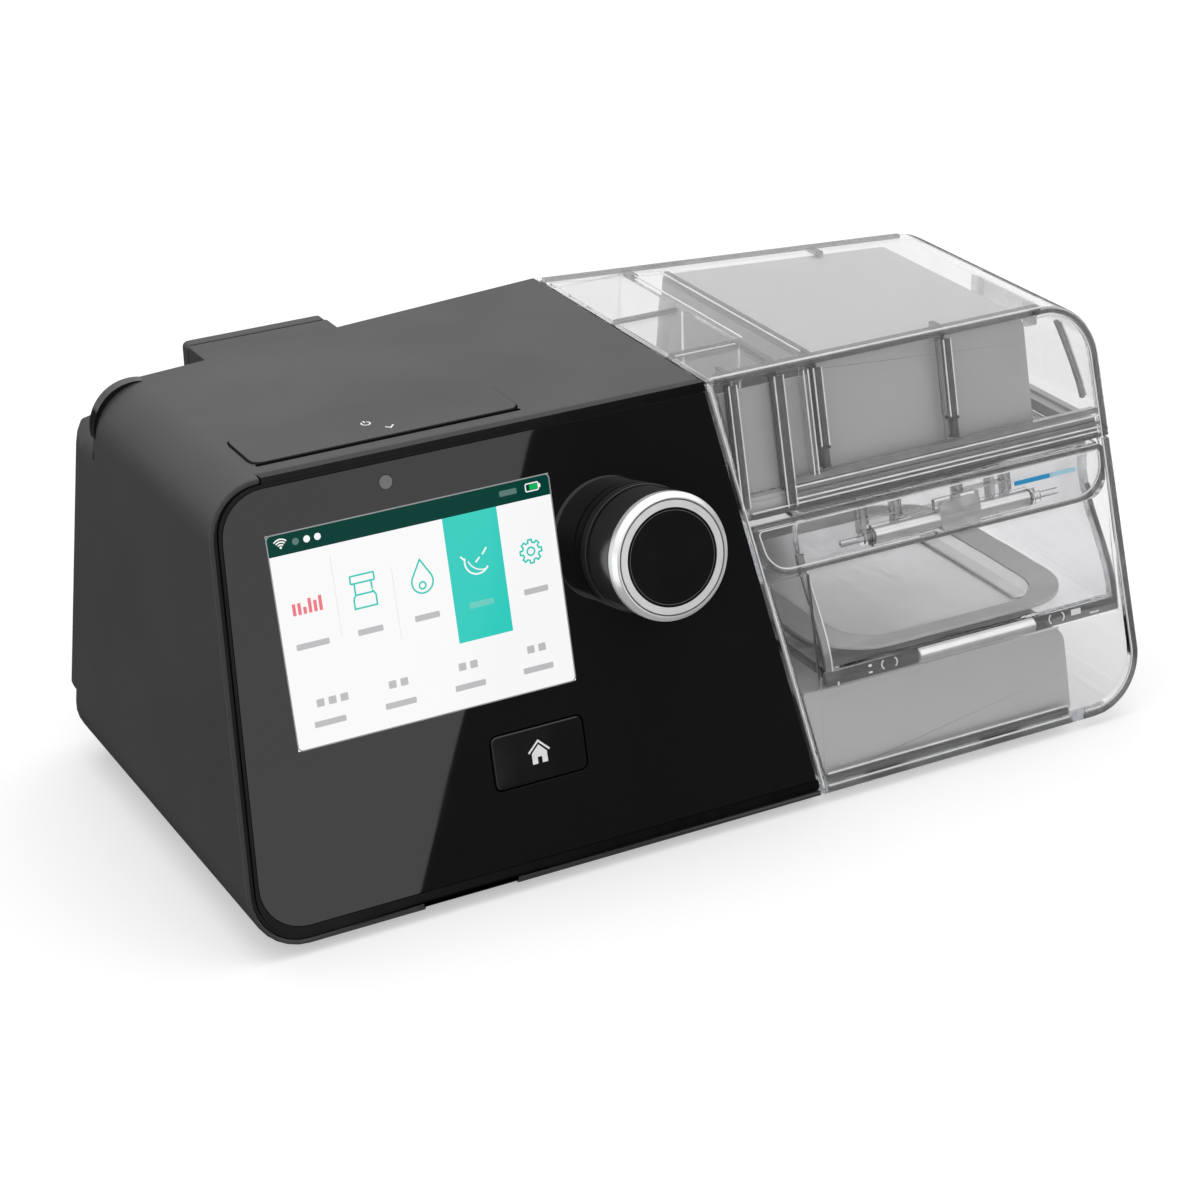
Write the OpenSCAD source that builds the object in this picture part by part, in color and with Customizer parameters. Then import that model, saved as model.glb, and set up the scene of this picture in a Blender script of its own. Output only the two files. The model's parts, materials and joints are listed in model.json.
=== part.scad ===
// CPAP machine: a black main unit with a colour screen and a dial, and a clear humidifier side.
// Machine frame used inside the modules: x from the left bottom edge, y back from the
// front bottom edge, z up from the underside. in_frame() moves it to the part's own frame.

/* [Body] */
// Width over both sides at the underside
body_w = 265; // [258:1:275]
// Height of the body without its feet
body_h = 111.25; // [108:0.25:114]
// Lean of the front face from upright, degrees
front_lean = 12.86; // [11:0.01:14]
// How far the left side leans in at the top
draft_l = 6.5; // [4:0.5:9]
// How far the right side leans in at the top
draft_r = 6; // [4:0.5:8]
// Corner radius of the black body
corner_r = 14; // [11:0.5:16]
// Corner radius of the clear side
clear_r = 16; // [13:0.5:18]
// Wall of the black shell
shell_wall = 2.5; // [2:0.1:3]
// Wall of the clear mouldings
clear_wall = 2.2; // [1.8:0.1:2.6]
// Depth of the top at its deepest point
rear_top = 118; // [114:1:122]
// Lean of the back from upright, degrees
rear_lean = 9.3; // [8:0.1:11]
// Turn of the clear side's back seen from above, degrees
rear_turn = 10.6; // [9:0.1:12]

/* [Seam between black and clear] */
// Distance of the seam from the left, at the top
seam_top = 139.9; // [136:0.1:143]
// Lean of the seam from upright, degrees
seam_lean = 10.35; // [9:0.05:11.5]
// Gap between the black and the clear side
seam_gap = 0.6; // [0.4:0.1:1]
// Height of the joint between clear cover and chamber
parting_z = 73.8; // [72:0.2:75]
// Gap between the clear cover and the chamber
parting_gap = 0.5; // [0.4:0.1:0.8]

/* [Rear] */
// Step from the top down to the low rear part of the shell
low_drop = 11.75; // [10:0.25:15]
// Corner radius of the low rear part
low_r = 10; // [8:0.5:12]
// Depth of the top shell at its left end
turn_y = 104.6; // [102:0.2:107]
// Turn of the top shell's back edge, degrees
turn_angle = 7; // [6:0.1:8]
// Depth of the rear cover
cap_depth = 9; // [8:0.5:10]
// Rounding of the rear cover's edge
cap_round = 6; // [4:0.5:7]
// How far the rear trim stands proud
rim_proud = 1.3; // [0.8:0.1:1.6]

/* [Front panel] */
// Thickness of the front glass
glass_t = 1.8; // [1.5:0.1:2.2]
// Glass edge to the left side
glass_left = 3.3; // [2.8:0.1:4]
// Glass edge to the underside
glass_low = 4.6; // [4:0.1:6]
// Glass edge to the top
glass_high = 2.6; // [2.4:0.1:3.4]
// Corner radius of the glass
glass_r = 11.5; // [9:0.5:13]
// Thickness of the plate behind the glass
chassis_t = 3.2; // [2.6:0.1:3.6]
// Left edge of the screen
screen_x = 19.6; // [18:0.1:21]
// Screen to the top edge of the front face
screen_drop = 14; // [13:0.1:15]
// Width of the screen
screen_w = 74.6; // [72:0.1:76]
// Height of the screen
screen_h = 52.8; // [50:0.1:54]
// Radius of the light sensor
sensor_r = 1.7; // [1.3:0.1:2]
// Left edge of the home button
home_x = 68.5; // [66:0.5:70]
// Home button to the screen above it
home_drop = 8.6; // [7:0.2:10]
// Width of the home button
home_w = 26.3; // [24:0.1:28]
// Height of the home button
home_h = 14.7; // [13:0.1:16]
// Travel of the home button
home_travel = 0.8; // [0.5:0.1:0.9]

/* [Dial] */
// Centre of the dial from the left
dial_x = 116.2; // [115:0.1:118]
// Centre of the dial below the top edge of the front face
dial_drop = 37.5; // [35:0.1:40]
// Radius of the dial
dial_r = 16.16; // [15:0.01:17]
// Height of the dial over the glass
dial_h = 17.64; // [16:0.01:19]
// Height of the fixed collar under the dial
collar_h = 3; // [2.6:0.1:3.4]
// Height of the metal ring
ring_h = 3.2; // [2.8:0.1:3.8]
// Inner radius of the metal ring
ring_in = 10.9; // [10:0.1:12]
// Bevel of the metal ring
ring_bevel = 1.2; // [0.8:0.1:1.6]
// Travel of the dial when pushed
dial_travel = 0.8; // [0.5:0.1:0.9]
// Radius of the dial's shaft
shaft_r = 3; // [2.5:0.1:3.2]
// Running clearance around shafts
run_fit = 0.06; // [0.03:0.01:0.1]

/* [Start button] */
// Left edge of the start button
start_x = 22; // [20:0.5:24]
// Front edge of the start button
start_y = 33.3; // [32:0.1:35]
// Length of the start button
start_w = 71; // [66:0.5:74]
// Width of the start button
start_d = 18.2; // [16:0.1:19]
// Height of the start button over the top
start_proud = 0.35; // [0.2:0.05:0.6]
// Travel of the start button
start_travel = 0.9; // [0.5:0.1:1]
// Clearance around both buttons
button_gap = 0.35; // [0.3:0.05:0.5]

/* [Blower] */
// Centre of the blower from the left
blower_x = 66; // [62:1:68]
// Centre of the blower from the front
blower_y = 64; // [62:1:66]
// Radius of the blower housing
blower_r = 33; // [31:0.5:34]
// Height of the blower's underside
blower_z = 30; // [28:1:32]
// Radius of the fan wheel
fan_r = 28; // [26:0.5:28.5]
// Number of fan blades
fan_blades = 9; // [7:1:11]
// Outer radius of the air duct
duct_r = 10; // [9:0.5:10.5]
// Wall of the air duct
duct_wall = 2; // [1.5:0.1:2.4]

/* [Humidifier] */
// Height of the heater plate's face
heater_z = 29; // [28.6:0.1:29.4]
// Right edge of the heater base to the right side
heater_in = 23; // [20:1:27]
// Left side of the water tank from the top of the seam
tank_in = 25.1; // [24:0.1:27]
// Clearance between the tank and the chamber's right wall
tank_side_gap = 0.6; // [0.5:0.1:1]
// Back of the water tank
tank_back = 96; // [92:0.5:97]
// Wall of the water tank
tank_wall = 2; // [1.8:0.1:2.4]
// Height of the tub's rim
tub_top = 69.5; // [68:0.5:70]
// Lower edge of the tank's front band, up the front face
band_v = 60; // [58:0.5:61]
// Radius of the latch barrels
latch_r = 2.3; // [2.1:0.1:2.5]
// Height of the latch pin up the front face
latch_v = 64.6; // [64.4:0.1:65]
// Middle of the latch to the left of the tank's middle
latch_off = 3; // [1:0.2:4]
// Length of the latch
latch_w = 48.6; // [46:0.2:50]
// Width of the grip bar
grip_w = 37; // [33:0.5:41]
// Outer radius of the air outlet, for a 22 mm hose
outlet_r = 11; // [10.5:0.05:11.5]
// Wall of the air outlet
outlet_wall = 2; // [1.6:0.1:2.4]
// Centre of the air outlet from the right side
outlet_in = 65; // [60:1:69]
// Height of the air outlet
outlet_z = 48; // [46:1:52]
// Distance of the outlet's end from the front edge
outlet_end = 141.5; // [136:0.5:146]

/* [Feet] */
// Height of the rubber feet
foot_h = 2.75; // [2:0.25:4]
// Radius of the rubber feet
foot_r = 7; // [5:0.5:8]

/* [Hidden] */
$fn = 64;

big = 400;
fit = 0.15;
face_h = body_h / cos(front_lean);
low_h = body_h - low_drop;
screen_v = face_h - screen_drop - screen_h;
home_v = screen_v - home_drop - home_h;
dial_v = face_h - dial_drop;
front_reach = dial_h * cos(front_lean) - (dial_v - dial_r + ring_bevel) * sin(front_lean);
y_mid = (outlet_end - front_reach) / 2;
kl = norm([1, draft_l / body_h]);
kr = norm([1, draft_r / body_h]);
ks = 1 / cos(seam_lean);

// Places that several pieces share
cover_z = parting_z + parting_gap;
chassis_n = -glass_t - fit;
board_n = chassis_n - chassis_t - 1.2;
board_t = 1.6;
knob_base = collar_h + dial_travel + 0.3;
ring_n = dial_h - ring_h;
encoder_n = chassis_n - chassis_t - fit;
encoder_d = 7.5;
duct_y = blower_y + 20;
duct_z = blower_z + 22;
tank_x = seam_top + tank_in;
tank_right = right_x(tub_top) - clear_wall * kr - tank_side_gap;
latch_x = (tank_x + tank_right) / 2 - latch_off - latch_w / 2;
outlet_x = body_w - outlet_in;
heater_right = body_w - heater_in;
tank_z = heater_z + 0.3;
lid_z = tub_top + 0.8;
lid_t = 2;
filter_x = [42, 82];
filter_z = [body_h - 51.25, body_h - 3.75];
filter_back = rear_y(filter_z.x) + 1.1;
filter_floor = rear_top - 6;

// ---------------------------------------------------------------- outlines
function unit(v) = v / norm(v);
function lean_y(z) = z * tan(front_lean);
function left_x(z) = draft_l * z / body_h;
function right_x(z) = body_w - draft_r * z / body_h;
function seam_x(z) = seam_top + (body_h - z) * tan(seam_lean);
function rear_y(z) = rear_top + (body_h - z) * tan(rear_lean);
function clear_rear_y(x, z) = rear_top - (x - seam_top) * tan(rear_turn)
    + (body_h - z) * tan(rear_lean) / cos(rear_turn);
function smooth(u) = let (c = min(max(u, 0), 1)) c * c * (3 - 2 * c);
function scoop_y(z) = lean_y(tank_z) + 0.2 + 16.6 * smooth((z - tank_z - 0.7) / 36);

// One rounded corner of an outline, as points on its arc
function corner_arc(a, b, c, r, n) =
    let (u = unit(a - b), w = unit(c - b), half = acos(u * w) / 2,
        centre = b + unit(u + w) * r / sin(half),
        p0 = b + u * r / tan(half) - centre, p1 = b + w * r / tan(half) - centre,
        a0 = atan2(p0.y, p0.x), turn = (atan2(p1.y, p1.x) - a0 + 540) % 360 - 180)
    [for (i = [0:n]) centre + r * [cos(a0 + turn * i / n), sin(a0 + turn * i / n)]];

// Closed outline with a radius at every corner
function rounded(pts, radii, n = 8) =
    let (m = len(pts))
    [for (i = [0:m - 1]) each corner_arc(pts[(i + m - 1) % m], pts[i], pts[(i + 1) % m],
        radii[i], n)];

// Black body seen from the front, inset by t, up to the height top
function left_outline(t, top = body_h, r = corner_r, low = 0, low_r = corner_r) = rounded(
    [[left_x(low + t) + t * kl, low + t], [left_x(top - t) + t * kl, top - t],
     [seam_x(top - t) - t * ks, top - t], [seam_x(low + t) - t * ks, low + t]],
    [max(low_r - t, 0.8), max(r - t, 0.8), 0.4, 0.4]);

// Clear side seen from the front, inset by t
function right_outline(t) = rounded(
    [[seam_x(t) + seam_gap + t * ks, t],
     [seam_x(body_h - t) + seam_gap + t * ks, body_h - t],
     [right_x(body_h - t) - t * kr, body_h - t], [right_x(t) - t * kr, t]],
    [0.4, 0.4, clear_r - t, clear_r - t]);

// Outline on the leaning front face, with its own inset at each side
function face_outline(left, low, high, right, r) =
    let (c = cos(front_lean))
    rounded(
        [[left_x(low * c) + left, low], [left_x((face_h - high) * c) + left, face_h - high],
         [seam_x((face_h - high) * c) - right, face_h - high],
         [seam_x(low * c) - right, low]],
        [r, r, 0.5, 0.5]);

function glass_outline(grow = 0) = face_outline(glass_left - grow, glass_low - grow,
    glass_high - grow, 0.4, glass_r + grow);

// ---------------------------------------------------------------- placing helpers
module in_frame() translate([-body_w / 2, -y_mid, foot_h]) children();

module along_y(y0, y1) translate([0, y1, 0]) rotate([90, 0, 0]) linear_extrude(y1 - y0) children();

module along_x(x0, x1) translate([x0, 0, 0]) rotate([90, 0, 90]) linear_extrude(x1 - x0) children();

// x stays, y runs up the front face, z stands off it; n is the height over the glass
module on_front(n = 0) rotate([90 - front_lean, 0, 0]) translate([0, 0, n]) children();

// The same for the back of the black side, where z runs into the body
module on_rear(d = 0) translate([0, rear_y(0), 0]) rotate([90 + rear_lean, 0, 0])
    translate([0, 0, d]) children();

module at_dial(n = 0) on_front(n) translate([dial_x, dial_v, 0]) children();

// Frame of the clear cover's hinge: x along the pins
hinge_back = 4.6;
module at_hinge() translate([seam_top, clear_rear_y(seam_top, cover_z), cover_z])
    rotate([0, 0, -rear_turn]) translate([0, hinge_back, 0]) children();

// Half spaces that bound the body
module behind_front(n = 0) on_front(-n - 2 * big) translate([-big, -big, 0]) cube(2 * big);
module ahead_of_rear(d = 0) on_rear(d) translate([-big, -big, 0]) cube(2 * big);
module ahead_of_turn(d = 0) translate([27, turn_y - d, 0]) rotate([0, 0, turn_angle])
    translate([-big, -2 * big, -big]) cube(2 * big);
module ahead_of_clear_rear(d = 0) translate([seam_top, rear_top, body_h])
    rotate([rear_lean, 0, -rear_turn]) translate([-big, -2 * big - d, -big]) cube(2 * big);
module above(z) translate([-big, -big, z]) cube(2 * big);
module below(z) translate([-big, -big, z - 2 * big]) cube(2 * big);

// Box from one corner to the other
module span(a, b) translate(a) cube(b - a);

// Flat plate with rounded corners, in the plane it is drawn in
module round_plate(w, h, r, t, n = 6) linear_extrude(t)
    polygon(rounded([[0, 0], [0, h], [w, h], [w, 0]], [r, r, r, r], n));

module tube(r, inner, h) difference() {
    cylinder(r = r, h = h);
    translate([0, 0, -1]) cylinder(r = inner, h = h + 2);
}

module pipe_x(x0, x1, y, z, r, inner) translate([x0, y, z]) rotate([0, 90, 0]) tube(r, inner, x1 - x0);

// ---------------------------------------------------------------- black body
plate_x = [18, seam_x(0) - 14];
plate_y = [12, 112];
boss_x = [plate_x.x + 6, plate_x.y - 6];
boss_y = [plate_y.x + 6, plate_y.y - 6];
boss_r = 4;
screw_r = 1.5;

module shell_solid(t) {
    intersection() {
        along_y(-5, 150) polygon(left_outline(t));
        behind_front(t > 0 ? -2 : 0);
        ahead_of_turn(t);
        union() {
            ahead_of_rear(cap_depth);
            above(low_h + (t > 0 ? 0 : 0.3));
        }
    }
    intersection() {
        along_y(40, 150) polygon(left_outline(t, low_h, low_r));
        ahead_of_rear(t > 0 ? cap_depth - 1 : cap_depth);
    }
}

module filter_block(grow = 0) span([filter_x.x - grow, 80, filter_z.x - grow],
    [filter_x.y + grow, filter_back, filter_z.y + grow]);

module main_shell() in_frame() color("#2c2d2e") {
    difference() {
        shell_solid(0);
        shell_solid(shell_wall);
        // rebate for the front assembly
        on_front(-7.5) linear_extrude(8)
            polygon(face_outline(1.4, 1.4, 1.4, -2, corner_r - 1.4));
        // room for the glossy brow over the glass
        intersection() {
            on_front(-2.4) translate([corner_r + draft_l, face_h - 20, 0]) cube([seam_top, 40, 10]);
            above(body_h - 3.4);
        }
        // opening for the base plate
        span([plate_x.x, plate_y.x, -1], [plate_x.y, plate_y.y, shell_wall + 0.1]);
        // start button
        translate([start_x, start_y, body_h - shell_wall - 1])
            round_plate(start_w, start_d, 3, shell_wall + 2);
        // shallow recess in the front lower edge
        span([46, -5, -1], [71, plate_y.x + 1, 1.2]);
        // air duct to the tank
        pipe_hole(seam_x(duct_z) - 8, seam_x(duct_z) + 4);
        // filter housing of the rear cover
        difference() {
            filter_block(0.3);
            ahead_of_turn(-0.05);
        }
    }
    // screw bosses for the base plate, webbed to the side walls
    for (x = boss_x, y = boss_y) difference() {
        union() {
            translate([x, y, shell_wall + fit]) cylinder(r = boss_r, h = 10);
            if (x < 50) span([shell_wall + 0.6, y - 1, shell_wall + fit + 4], [x, y + 1, shell_wall + 9]);
            else span([x, y - 1, shell_wall + fit + 4], [seam_x(9) - shell_wall, y + 1, shell_wall + 9]);
        }
        translate([x, y, 0]) cylinder(r = screw_r + 0.1, h = 12);
    }
}

module pipe_hole(x0, x1) translate([x0, duct_y, duct_z]) rotate([0, 90, 0])
    cylinder(r = duct_r + 0.3, h = x1 - x0);

post_spread = 24;
post_angles = [90, 210, 330];
mount_h = 6;
board_z = 8;
power_x = [30, 130];
power_y = [20, 45];

module base_plate() in_frame() color("#202122") difference() {
    union() {
        span([plate_x.x + 0.3, plate_y.x + 0.3, 0], [plate_x.y - 0.3, plate_y.y - 0.3, shell_wall]);
        // posts that carry the blower
        for (a = post_angles) translate([blower_x, blower_y, 0])
            rotate(a) translate([post_spread, 0, shell_wall - 0.1])
                cylinder(r = 4, h = blower_z - mount_h - shell_wall + 0.1);
        // posts that carry the power board
        for (x = power_x, y = power_y) translate([x + (x < 50 ? 4 : -4), y + (y < 30 ? 4 : -4), 0])
            cylinder(r = 2.5, h = board_z);
    }
    for (x = boss_x, y = boss_y) translate([x, y, -1]) {
        cylinder(r = screw_r + 0.1, h = 5);
        cylinder(r = 3, h = 2.2);
    }
    // cooling slots
    for (i = [0:5]) span([50 + 6 * i, 96, -1], [53 + 6 * i, 108, shell_wall + 1]);
}

module case_screws() in_frame() color("#8f9294") for (x = boss_x, y = boss_y) translate([x, y, 0]) {
    translate([0, 0, 0.1]) difference() {
        cylinder(r = 2.8, h = 1);
        translate([0, 0, -0.1]) cylinder(r = 1.2, h = 0.7, $fn = 6);
    }
    translate([0, 0, 1.1]) cylinder(r = screw_r, h = 9);
}

rear_low = 13;

// Rear cap outline on the leaning back, inset by t
function cap_outline(t) = rounded(
    [[left_x(rear_low) + t + 0.2, rear_low / cos(rear_lean) + t],
     [left_x(low_h) + t + 0.2, low_h / cos(rear_lean) - t],
     [seam_x(low_h) - t - 0.2, low_h / cos(rear_lean) - t],
     [seam_x(rear_low) - t - 0.2, rear_low / cos(rear_lean) + t]],
    [max(low_r - 2 - t, 1), max(low_r - t, 1), 1, 1], 6);

// Cap with rounded edges: its outline, its side view and its top view, intersected
module cap_solid() on_rear(0) intersection() {
    depth = cap_depth - fit;
    w0 = rear_low / cos(rear_lean);
    w1 = low_h / cos(rear_lean);
    linear_extrude(depth) polygon(cap_outline(0));
    rotate([90, 0, 90]) linear_extrude(body_w) polygon(rounded(
        [[w0, 0], [w0, depth + 1], [w1, depth + 1], [w1, 0]], [cap_round, 0.5, 0.5, cap_round], 5));
    rotate([0, 0, -atan(draft_l / body_h)]) translate([0, big, 0]) rotate([90, 0, 0])
        linear_extrude(2 * big) polygon(rounded([[0.2, 0], [0.2, depth + 1], [big, depth + 1], [big, 0]],
            [cap_round, 0.5, 0.5, 1], 5));
}

module rear_cover() in_frame() color("#262728") difference() {
    union() {
        cap_solid();
        // plug that enters the shell
        intersection() {
            along_y(100, 150) polygon(left_outline(shell_wall + 0.3, low_h, low_r));
            ahead_of_rear(cap_depth - fit - 0.1);
            difference() {
                above(-1);
                ahead_of_rear(cap_depth + 3);
            }
        }
        // filter housing
        difference() {
            filter_block();
            ahead_of_turn(-0.3);
        }
    }
    // hollow of the cap
    on_rear(shell_wall) linear_extrude(cap_depth + 10) polygon(cap_outline(cap_round + 1));
    span([filter_x.x + 2, filter_floor, filter_z.x + 2],
        [filter_x.y - 2, filter_back + 1, filter_z.y - 2]);
    span([filter_x.x + 8, filter_floor - 12, filter_z.x + 6],
        [filter_x.y - 8, filter_floor + 1, low_h - 4]);
    // power inlet and card slot
    translate([jack_x, 100, jack_z]) rotate([-90, 0, 0]) cylinder(r = jack_r + 0.1, h = 40);
    span([card_x - 0.3, 100, card_z - 0.3], [card_x + card_w + 0.3, 150, card_z + card_t + 0.3]);
    // seat of the port cover
    on_rear(-1) translate([card_x - 3, card_z - 5, 0])
        cube([card_w + 6.3, card_t + 12, 2.3]);
}

// Crescent trim round the top left corner of the shell
module rear_rim() in_frame() color("#1b1c1d") {
    centre = [left_x(body_h - corner_r) + corner_r * kl, body_h - corner_r];
    sweep = 90 - atan(draft_l / body_h);
    outer = [for (i = [0:16]) let (a = 90 + sweep * i / 16)
        centre + (corner_r + 0.05 + rim_proud * sin(180 * i / 16)) * [cos(a), sin(a)]];
    inner = [for (i = [0:16]) let (a = 90 + sweep * (1 - i / 16))
        centre + (corner_r + 0.03) * [cos(a), sin(a)]];
    along_y(turn_y - 4.6, turn_y - 1.2) polygon(concat(outer, inner));
}

module filter_cap() in_frame() color("#1f2021") difference() {
    union() {
        translate([filter_x.x, filter_back + 4, filter_z.x]) rotate([90, 0, 0])
            round_plate(filter_x.y - filter_x.x, filter_z.y - filter_z.x, 1.5, 3.8);
        // lip that enters the housing
        difference() {
            span([filter_x.x + 2.4, filter_back - 2, filter_z.x + 2.4],
                [filter_x.y - 2.4, filter_back + 1, filter_z.y - 2.4]);
            span([filter_x.x + 4, filter_back - 3, filter_z.x + 4],
                [filter_x.y - 4, filter_back + 2, filter_z.y - 4]);
        }
    }
    for (i = [0:8]) span([filter_x.x + 7, filter_back - 5, filter_z.x + 7 + 4 * i],
        [filter_x.y - 7, filter_back + 6, filter_z.x + 9 + 4 * i]);
}

module air_filter() in_frame() color("#d9dcde")
    span([filter_x.x + 2.2, filter_floor + 2, filter_z.x + 2.2],
        [filter_x.y - 2.2, filter_back - 2.3, filter_z.y - 2.2]);

jack_x = 118;
jack_z = 28;
jack_r = 5.5;
jack_bore = 3.2;
jack_depth = 10;

module dc_jack() in_frame() color("#2a2a2a") {
    end_y = rear_y(jack_z) - 0.6;
    translate([jack_x, end_y, jack_z]) rotate([90, 0, 0]) difference() {
        union() {
            cylinder(r = jack_r, h = 12);
            translate([-jack_r - 1, -jack_r - 1, 9.6]) cube([2 * jack_r + 2, 2 * jack_r + 2, 6]);
        }
        translate([0, 0, -1]) cylinder(r = jack_bore, h = jack_depth + 1);
    }
}

module jack_pin() in_frame() color("#b7a96a") translate([jack_x, rear_y(jack_z) - 1.6, jack_z])
    rotate([90, 0, 0]) cylinder(r = 1.25, h = jack_depth - 1);

card_x = 14;
card_z = 52;
card_w = 22;
card_t = 3.2;

module card_socket() in_frame() color("#b9bcbe") difference() {
    span([card_x, rear_y(card_z) - 28, card_z], [card_x + card_w, rear_y(card_z) - 3, card_z + card_t]);
    span([card_x + 0.5, rear_y(card_z) - 26, card_z + 0.5],
        [card_x + card_w - 0.5, rear_y(card_z), card_z + card_t - 0.5]);
}

// Flap over the card slot, hinged along its lower edge
module port_cover() in_frame() color("#1c1d1e") on_rear(0) translate([card_x - 2.7, card_z - 4.7, 0]) {
    translate([0, 0.9, 0.1]) cube([card_w + 5.7, card_t + 10.4, 1]);
    translate([0, 0.6, 0.6]) rotate([0, 90, 0]) cylinder(r = 0.55, h = card_w + 5.7);
    // finger lip
    translate([card_w / 2 - 3, card_t + 9, -0.5]) cube([12, 1.6, 0.7]);
}

foot_right = body_w - 37;
foot_places = [[32, 26], [32, 100], [foot_right, 20], [foot_right, 94]];

module rubber_feet() in_frame() color("#151515") for (p = foot_places) translate([p.x, p.y, -foot_h]) {
    cylinder(r1 = foot_r - 0.6, r2 = foot_r, h = 0.8);
    translate([0, 0, 0.8]) cylinder(r = foot_r, h = foot_h - 0.8);
}

// ---------------------------------------------------------------- front panel
module front_bezel() in_frame() color("#0d0d0e") {
    difference() {
        on_front(chassis_n + fit) linear_extrude(glass_t)
            polygon(face_outline(1.55, 1.55, 1.55, 0, corner_r - 1.55));
        on_front(-5) linear_extrude(10) polygon(concat_through(glass_outline(0.15)));
        // groove between the rim and the shell
        on_front(-0.7) difference() {
            linear_extrude(2) polygon(face_outline(1, 1, 1, -3, corner_r - 1));
            translate([0, 0, -1]) linear_extrude(4) polygon(face_outline(2.4, 2.6, 1.6, -5, corner_r - 2.4));
        }
    }
    // glossy brow over the glass
    intersection() {
        on_front(-2.2) translate([corner_r + draft_l + 0.2, face_h - 20, 0]) cube([seam_top, 40, 2.2]);
        above(body_h - 3.2);
        difference() {
            along_y(-5, 150) polygon(left_outline(0));
            on_front(-5) linear_extrude(10)
                polygon(face_outline(1, 1, 1.55, -5, corner_r - 1));
        }
    }
}

// The rim is open towards the seam, so its cut runs on past it
function concat_through(pts) = [for (p = pts) p.x > seam_top - 20 ? [p.x + 8, p.y] : p];

module window_2d(grow = 0) translate([screen_x - grow, screen_v - grow])
    square([screen_w + 2 * grow, screen_h + 2 * grow]);

module home_2d(grow = 0) polygon(rounded(
    [[home_x - grow, home_v - grow], [home_x - grow, home_v + home_h + grow],
     [home_x + home_w + grow, home_v + home_h + grow], [home_x + home_w + grow, home_v - grow]],
    [2.2 + grow, 2.2 + grow, 2.2 + grow, 2.2 + grow], 6));

sensor_at = [screen_x + 0.43 * screen_w, screen_v + screen_h + 6.6];
collar_spigot = 11.7;

module front_glass() in_frame() color("#050506") on_front(-glass_t) difference() {
    linear_extrude(glass_t) polygon(glass_outline());
    translate([0, 0, -1]) linear_extrude(glass_t + 2) window_2d(0.1);
    translate([0, 0, -1]) linear_extrude(glass_t + 2) home_2d();
    translate([dial_x, dial_v, -1]) cylinder(r = collar_spigot + 0.15, h = glass_t + 2);
    translate([sensor_at.x, sensor_at.y, -1]) cylinder(r = sensor_r + 0.1, h = glass_t + 2);
}

module screen_lens() in_frame() color("#f4f6f6") on_front(-glass_t) linear_extrude(glass_t) window_2d();

module light_sensor() in_frame() color("#6d6e70") on_front(-glass_t)
    translate([sensor_at.x, sensor_at.y, 0]) cylinder(r = sensor_r, h = glass_t);

lcd_edge = 2;
lcd_t = chassis_t + 1;

module lcd_panel() in_frame() color("#a8abad") on_front(board_n + 0.05) linear_extrude(lcd_t)
    window_2d(lcd_edge);

module front_chassis() in_frame() color("#222324") on_front(chassis_n - chassis_t) difference() {
    linear_extrude(chassis_t) polygon(face_outline(1.7, 1.7, 1.7, 0.4, corner_r - 1.7));
    translate([0, 0, -1]) linear_extrude(chassis_t + 2) window_2d(lcd_edge + 0.3);
    translate([0, 0, -1]) linear_extrude(chassis_t + 2) home_2d(1.5);
    translate([dial_x, dial_v, -1]) cylinder(r = bush_r + 0.1, h = chassis_t + 2);
    translate([dial_x, dial_v, chassis_t - 0.5]) cylinder(r = collar_spigot + 0.2, h = 2);
}

module display_board() in_frame() color("#1f5a3c") on_front(board_n - board_t) difference() {
    linear_extrude(board_t) translate([10, 12]) square([seam_top - 14, face_h - 20]);
    translate([dial_x - 8, dial_v - 8, -1]) cube([16, 16, board_t + 2]);
    translate([-1, face_h - 22, -1]) cube([10 + 6, 20, board_t + 2]);
}

home_centre = [home_x + home_w / 2, home_v + home_h / 2];
stem_n = -4.2;

module home_button() in_frame() color("#0a0a0b") {
    on_front(-glass_t + 0.02) linear_extrude(glass_t) home_2d(-button_gap);
    on_front(-glass_t - 1.2) linear_extrude(1.05) home_2d(0.9);
    on_front(-glass_t - 0.3) linear_extrude(0.6) home_2d(-button_gap);
    on_front(stem_n) translate(home_centre) cylinder(r = 2.2, h = -stem_n - glass_t - 0.2);
}

module home_switch() in_frame() color("#c9ccce") on_front(board_n + 0.05) translate(home_centre) {
    translate([-3, -3, 0]) cube([6, 6, 0.6]);
    cylinder(r = 1.6, h = stem_n - home_travel - 0.1 - board_n - 0.05);
}

// ---------------------------------------------------------------- dial
bush_r = 4.6;

module knob_collar() in_frame() color("#1a1b1c") at_dial() difference() {
    union() {
        translate([0, 0, 0.1]) cylinder(r = dial_r + 0.3, h = collar_h - 0.1);
        translate([0, 0, chassis_n - 0.4]) cylinder(r = collar_spigot, h = -chassis_n + 1);
    }
    translate([0, 0, chassis_n - 1]) cylinder(r = bush_r + 2.4, h = 20);
}

module encoder_body() in_frame() color("#9a9da0") at_dial() difference() {
    union() {
        translate([-6.5, -6.5, encoder_n - encoder_d]) cube([13, 13, encoder_d]);
        translate([0, 0, encoder_n - 0.1]) cylinder(r = bush_r, h = 1.4 - encoder_n);
    }
    translate([0, 0, encoder_n - encoder_d + 1]) cylinder(r = 4.9, h = 3.7);
    translate([0, 0, encoder_n - encoder_d + 1]) cylinder(r = shaft_r + run_fit, h = 30);
}

plunger_n = encoder_n - encoder_d + 1 + dial_travel + 0.3;

module encoder_plunger() in_frame() color("#b08d3c") at_dial(plunger_n) cylinder(r = 4.6, h = 0.8);

module encoder_shaft() in_frame() color("#8b8e91") at_dial(plunger_n + 0.9)
    cylinder(r = shaft_r, h = ring_n - 3.2 - plunger_n - 0.9);

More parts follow.
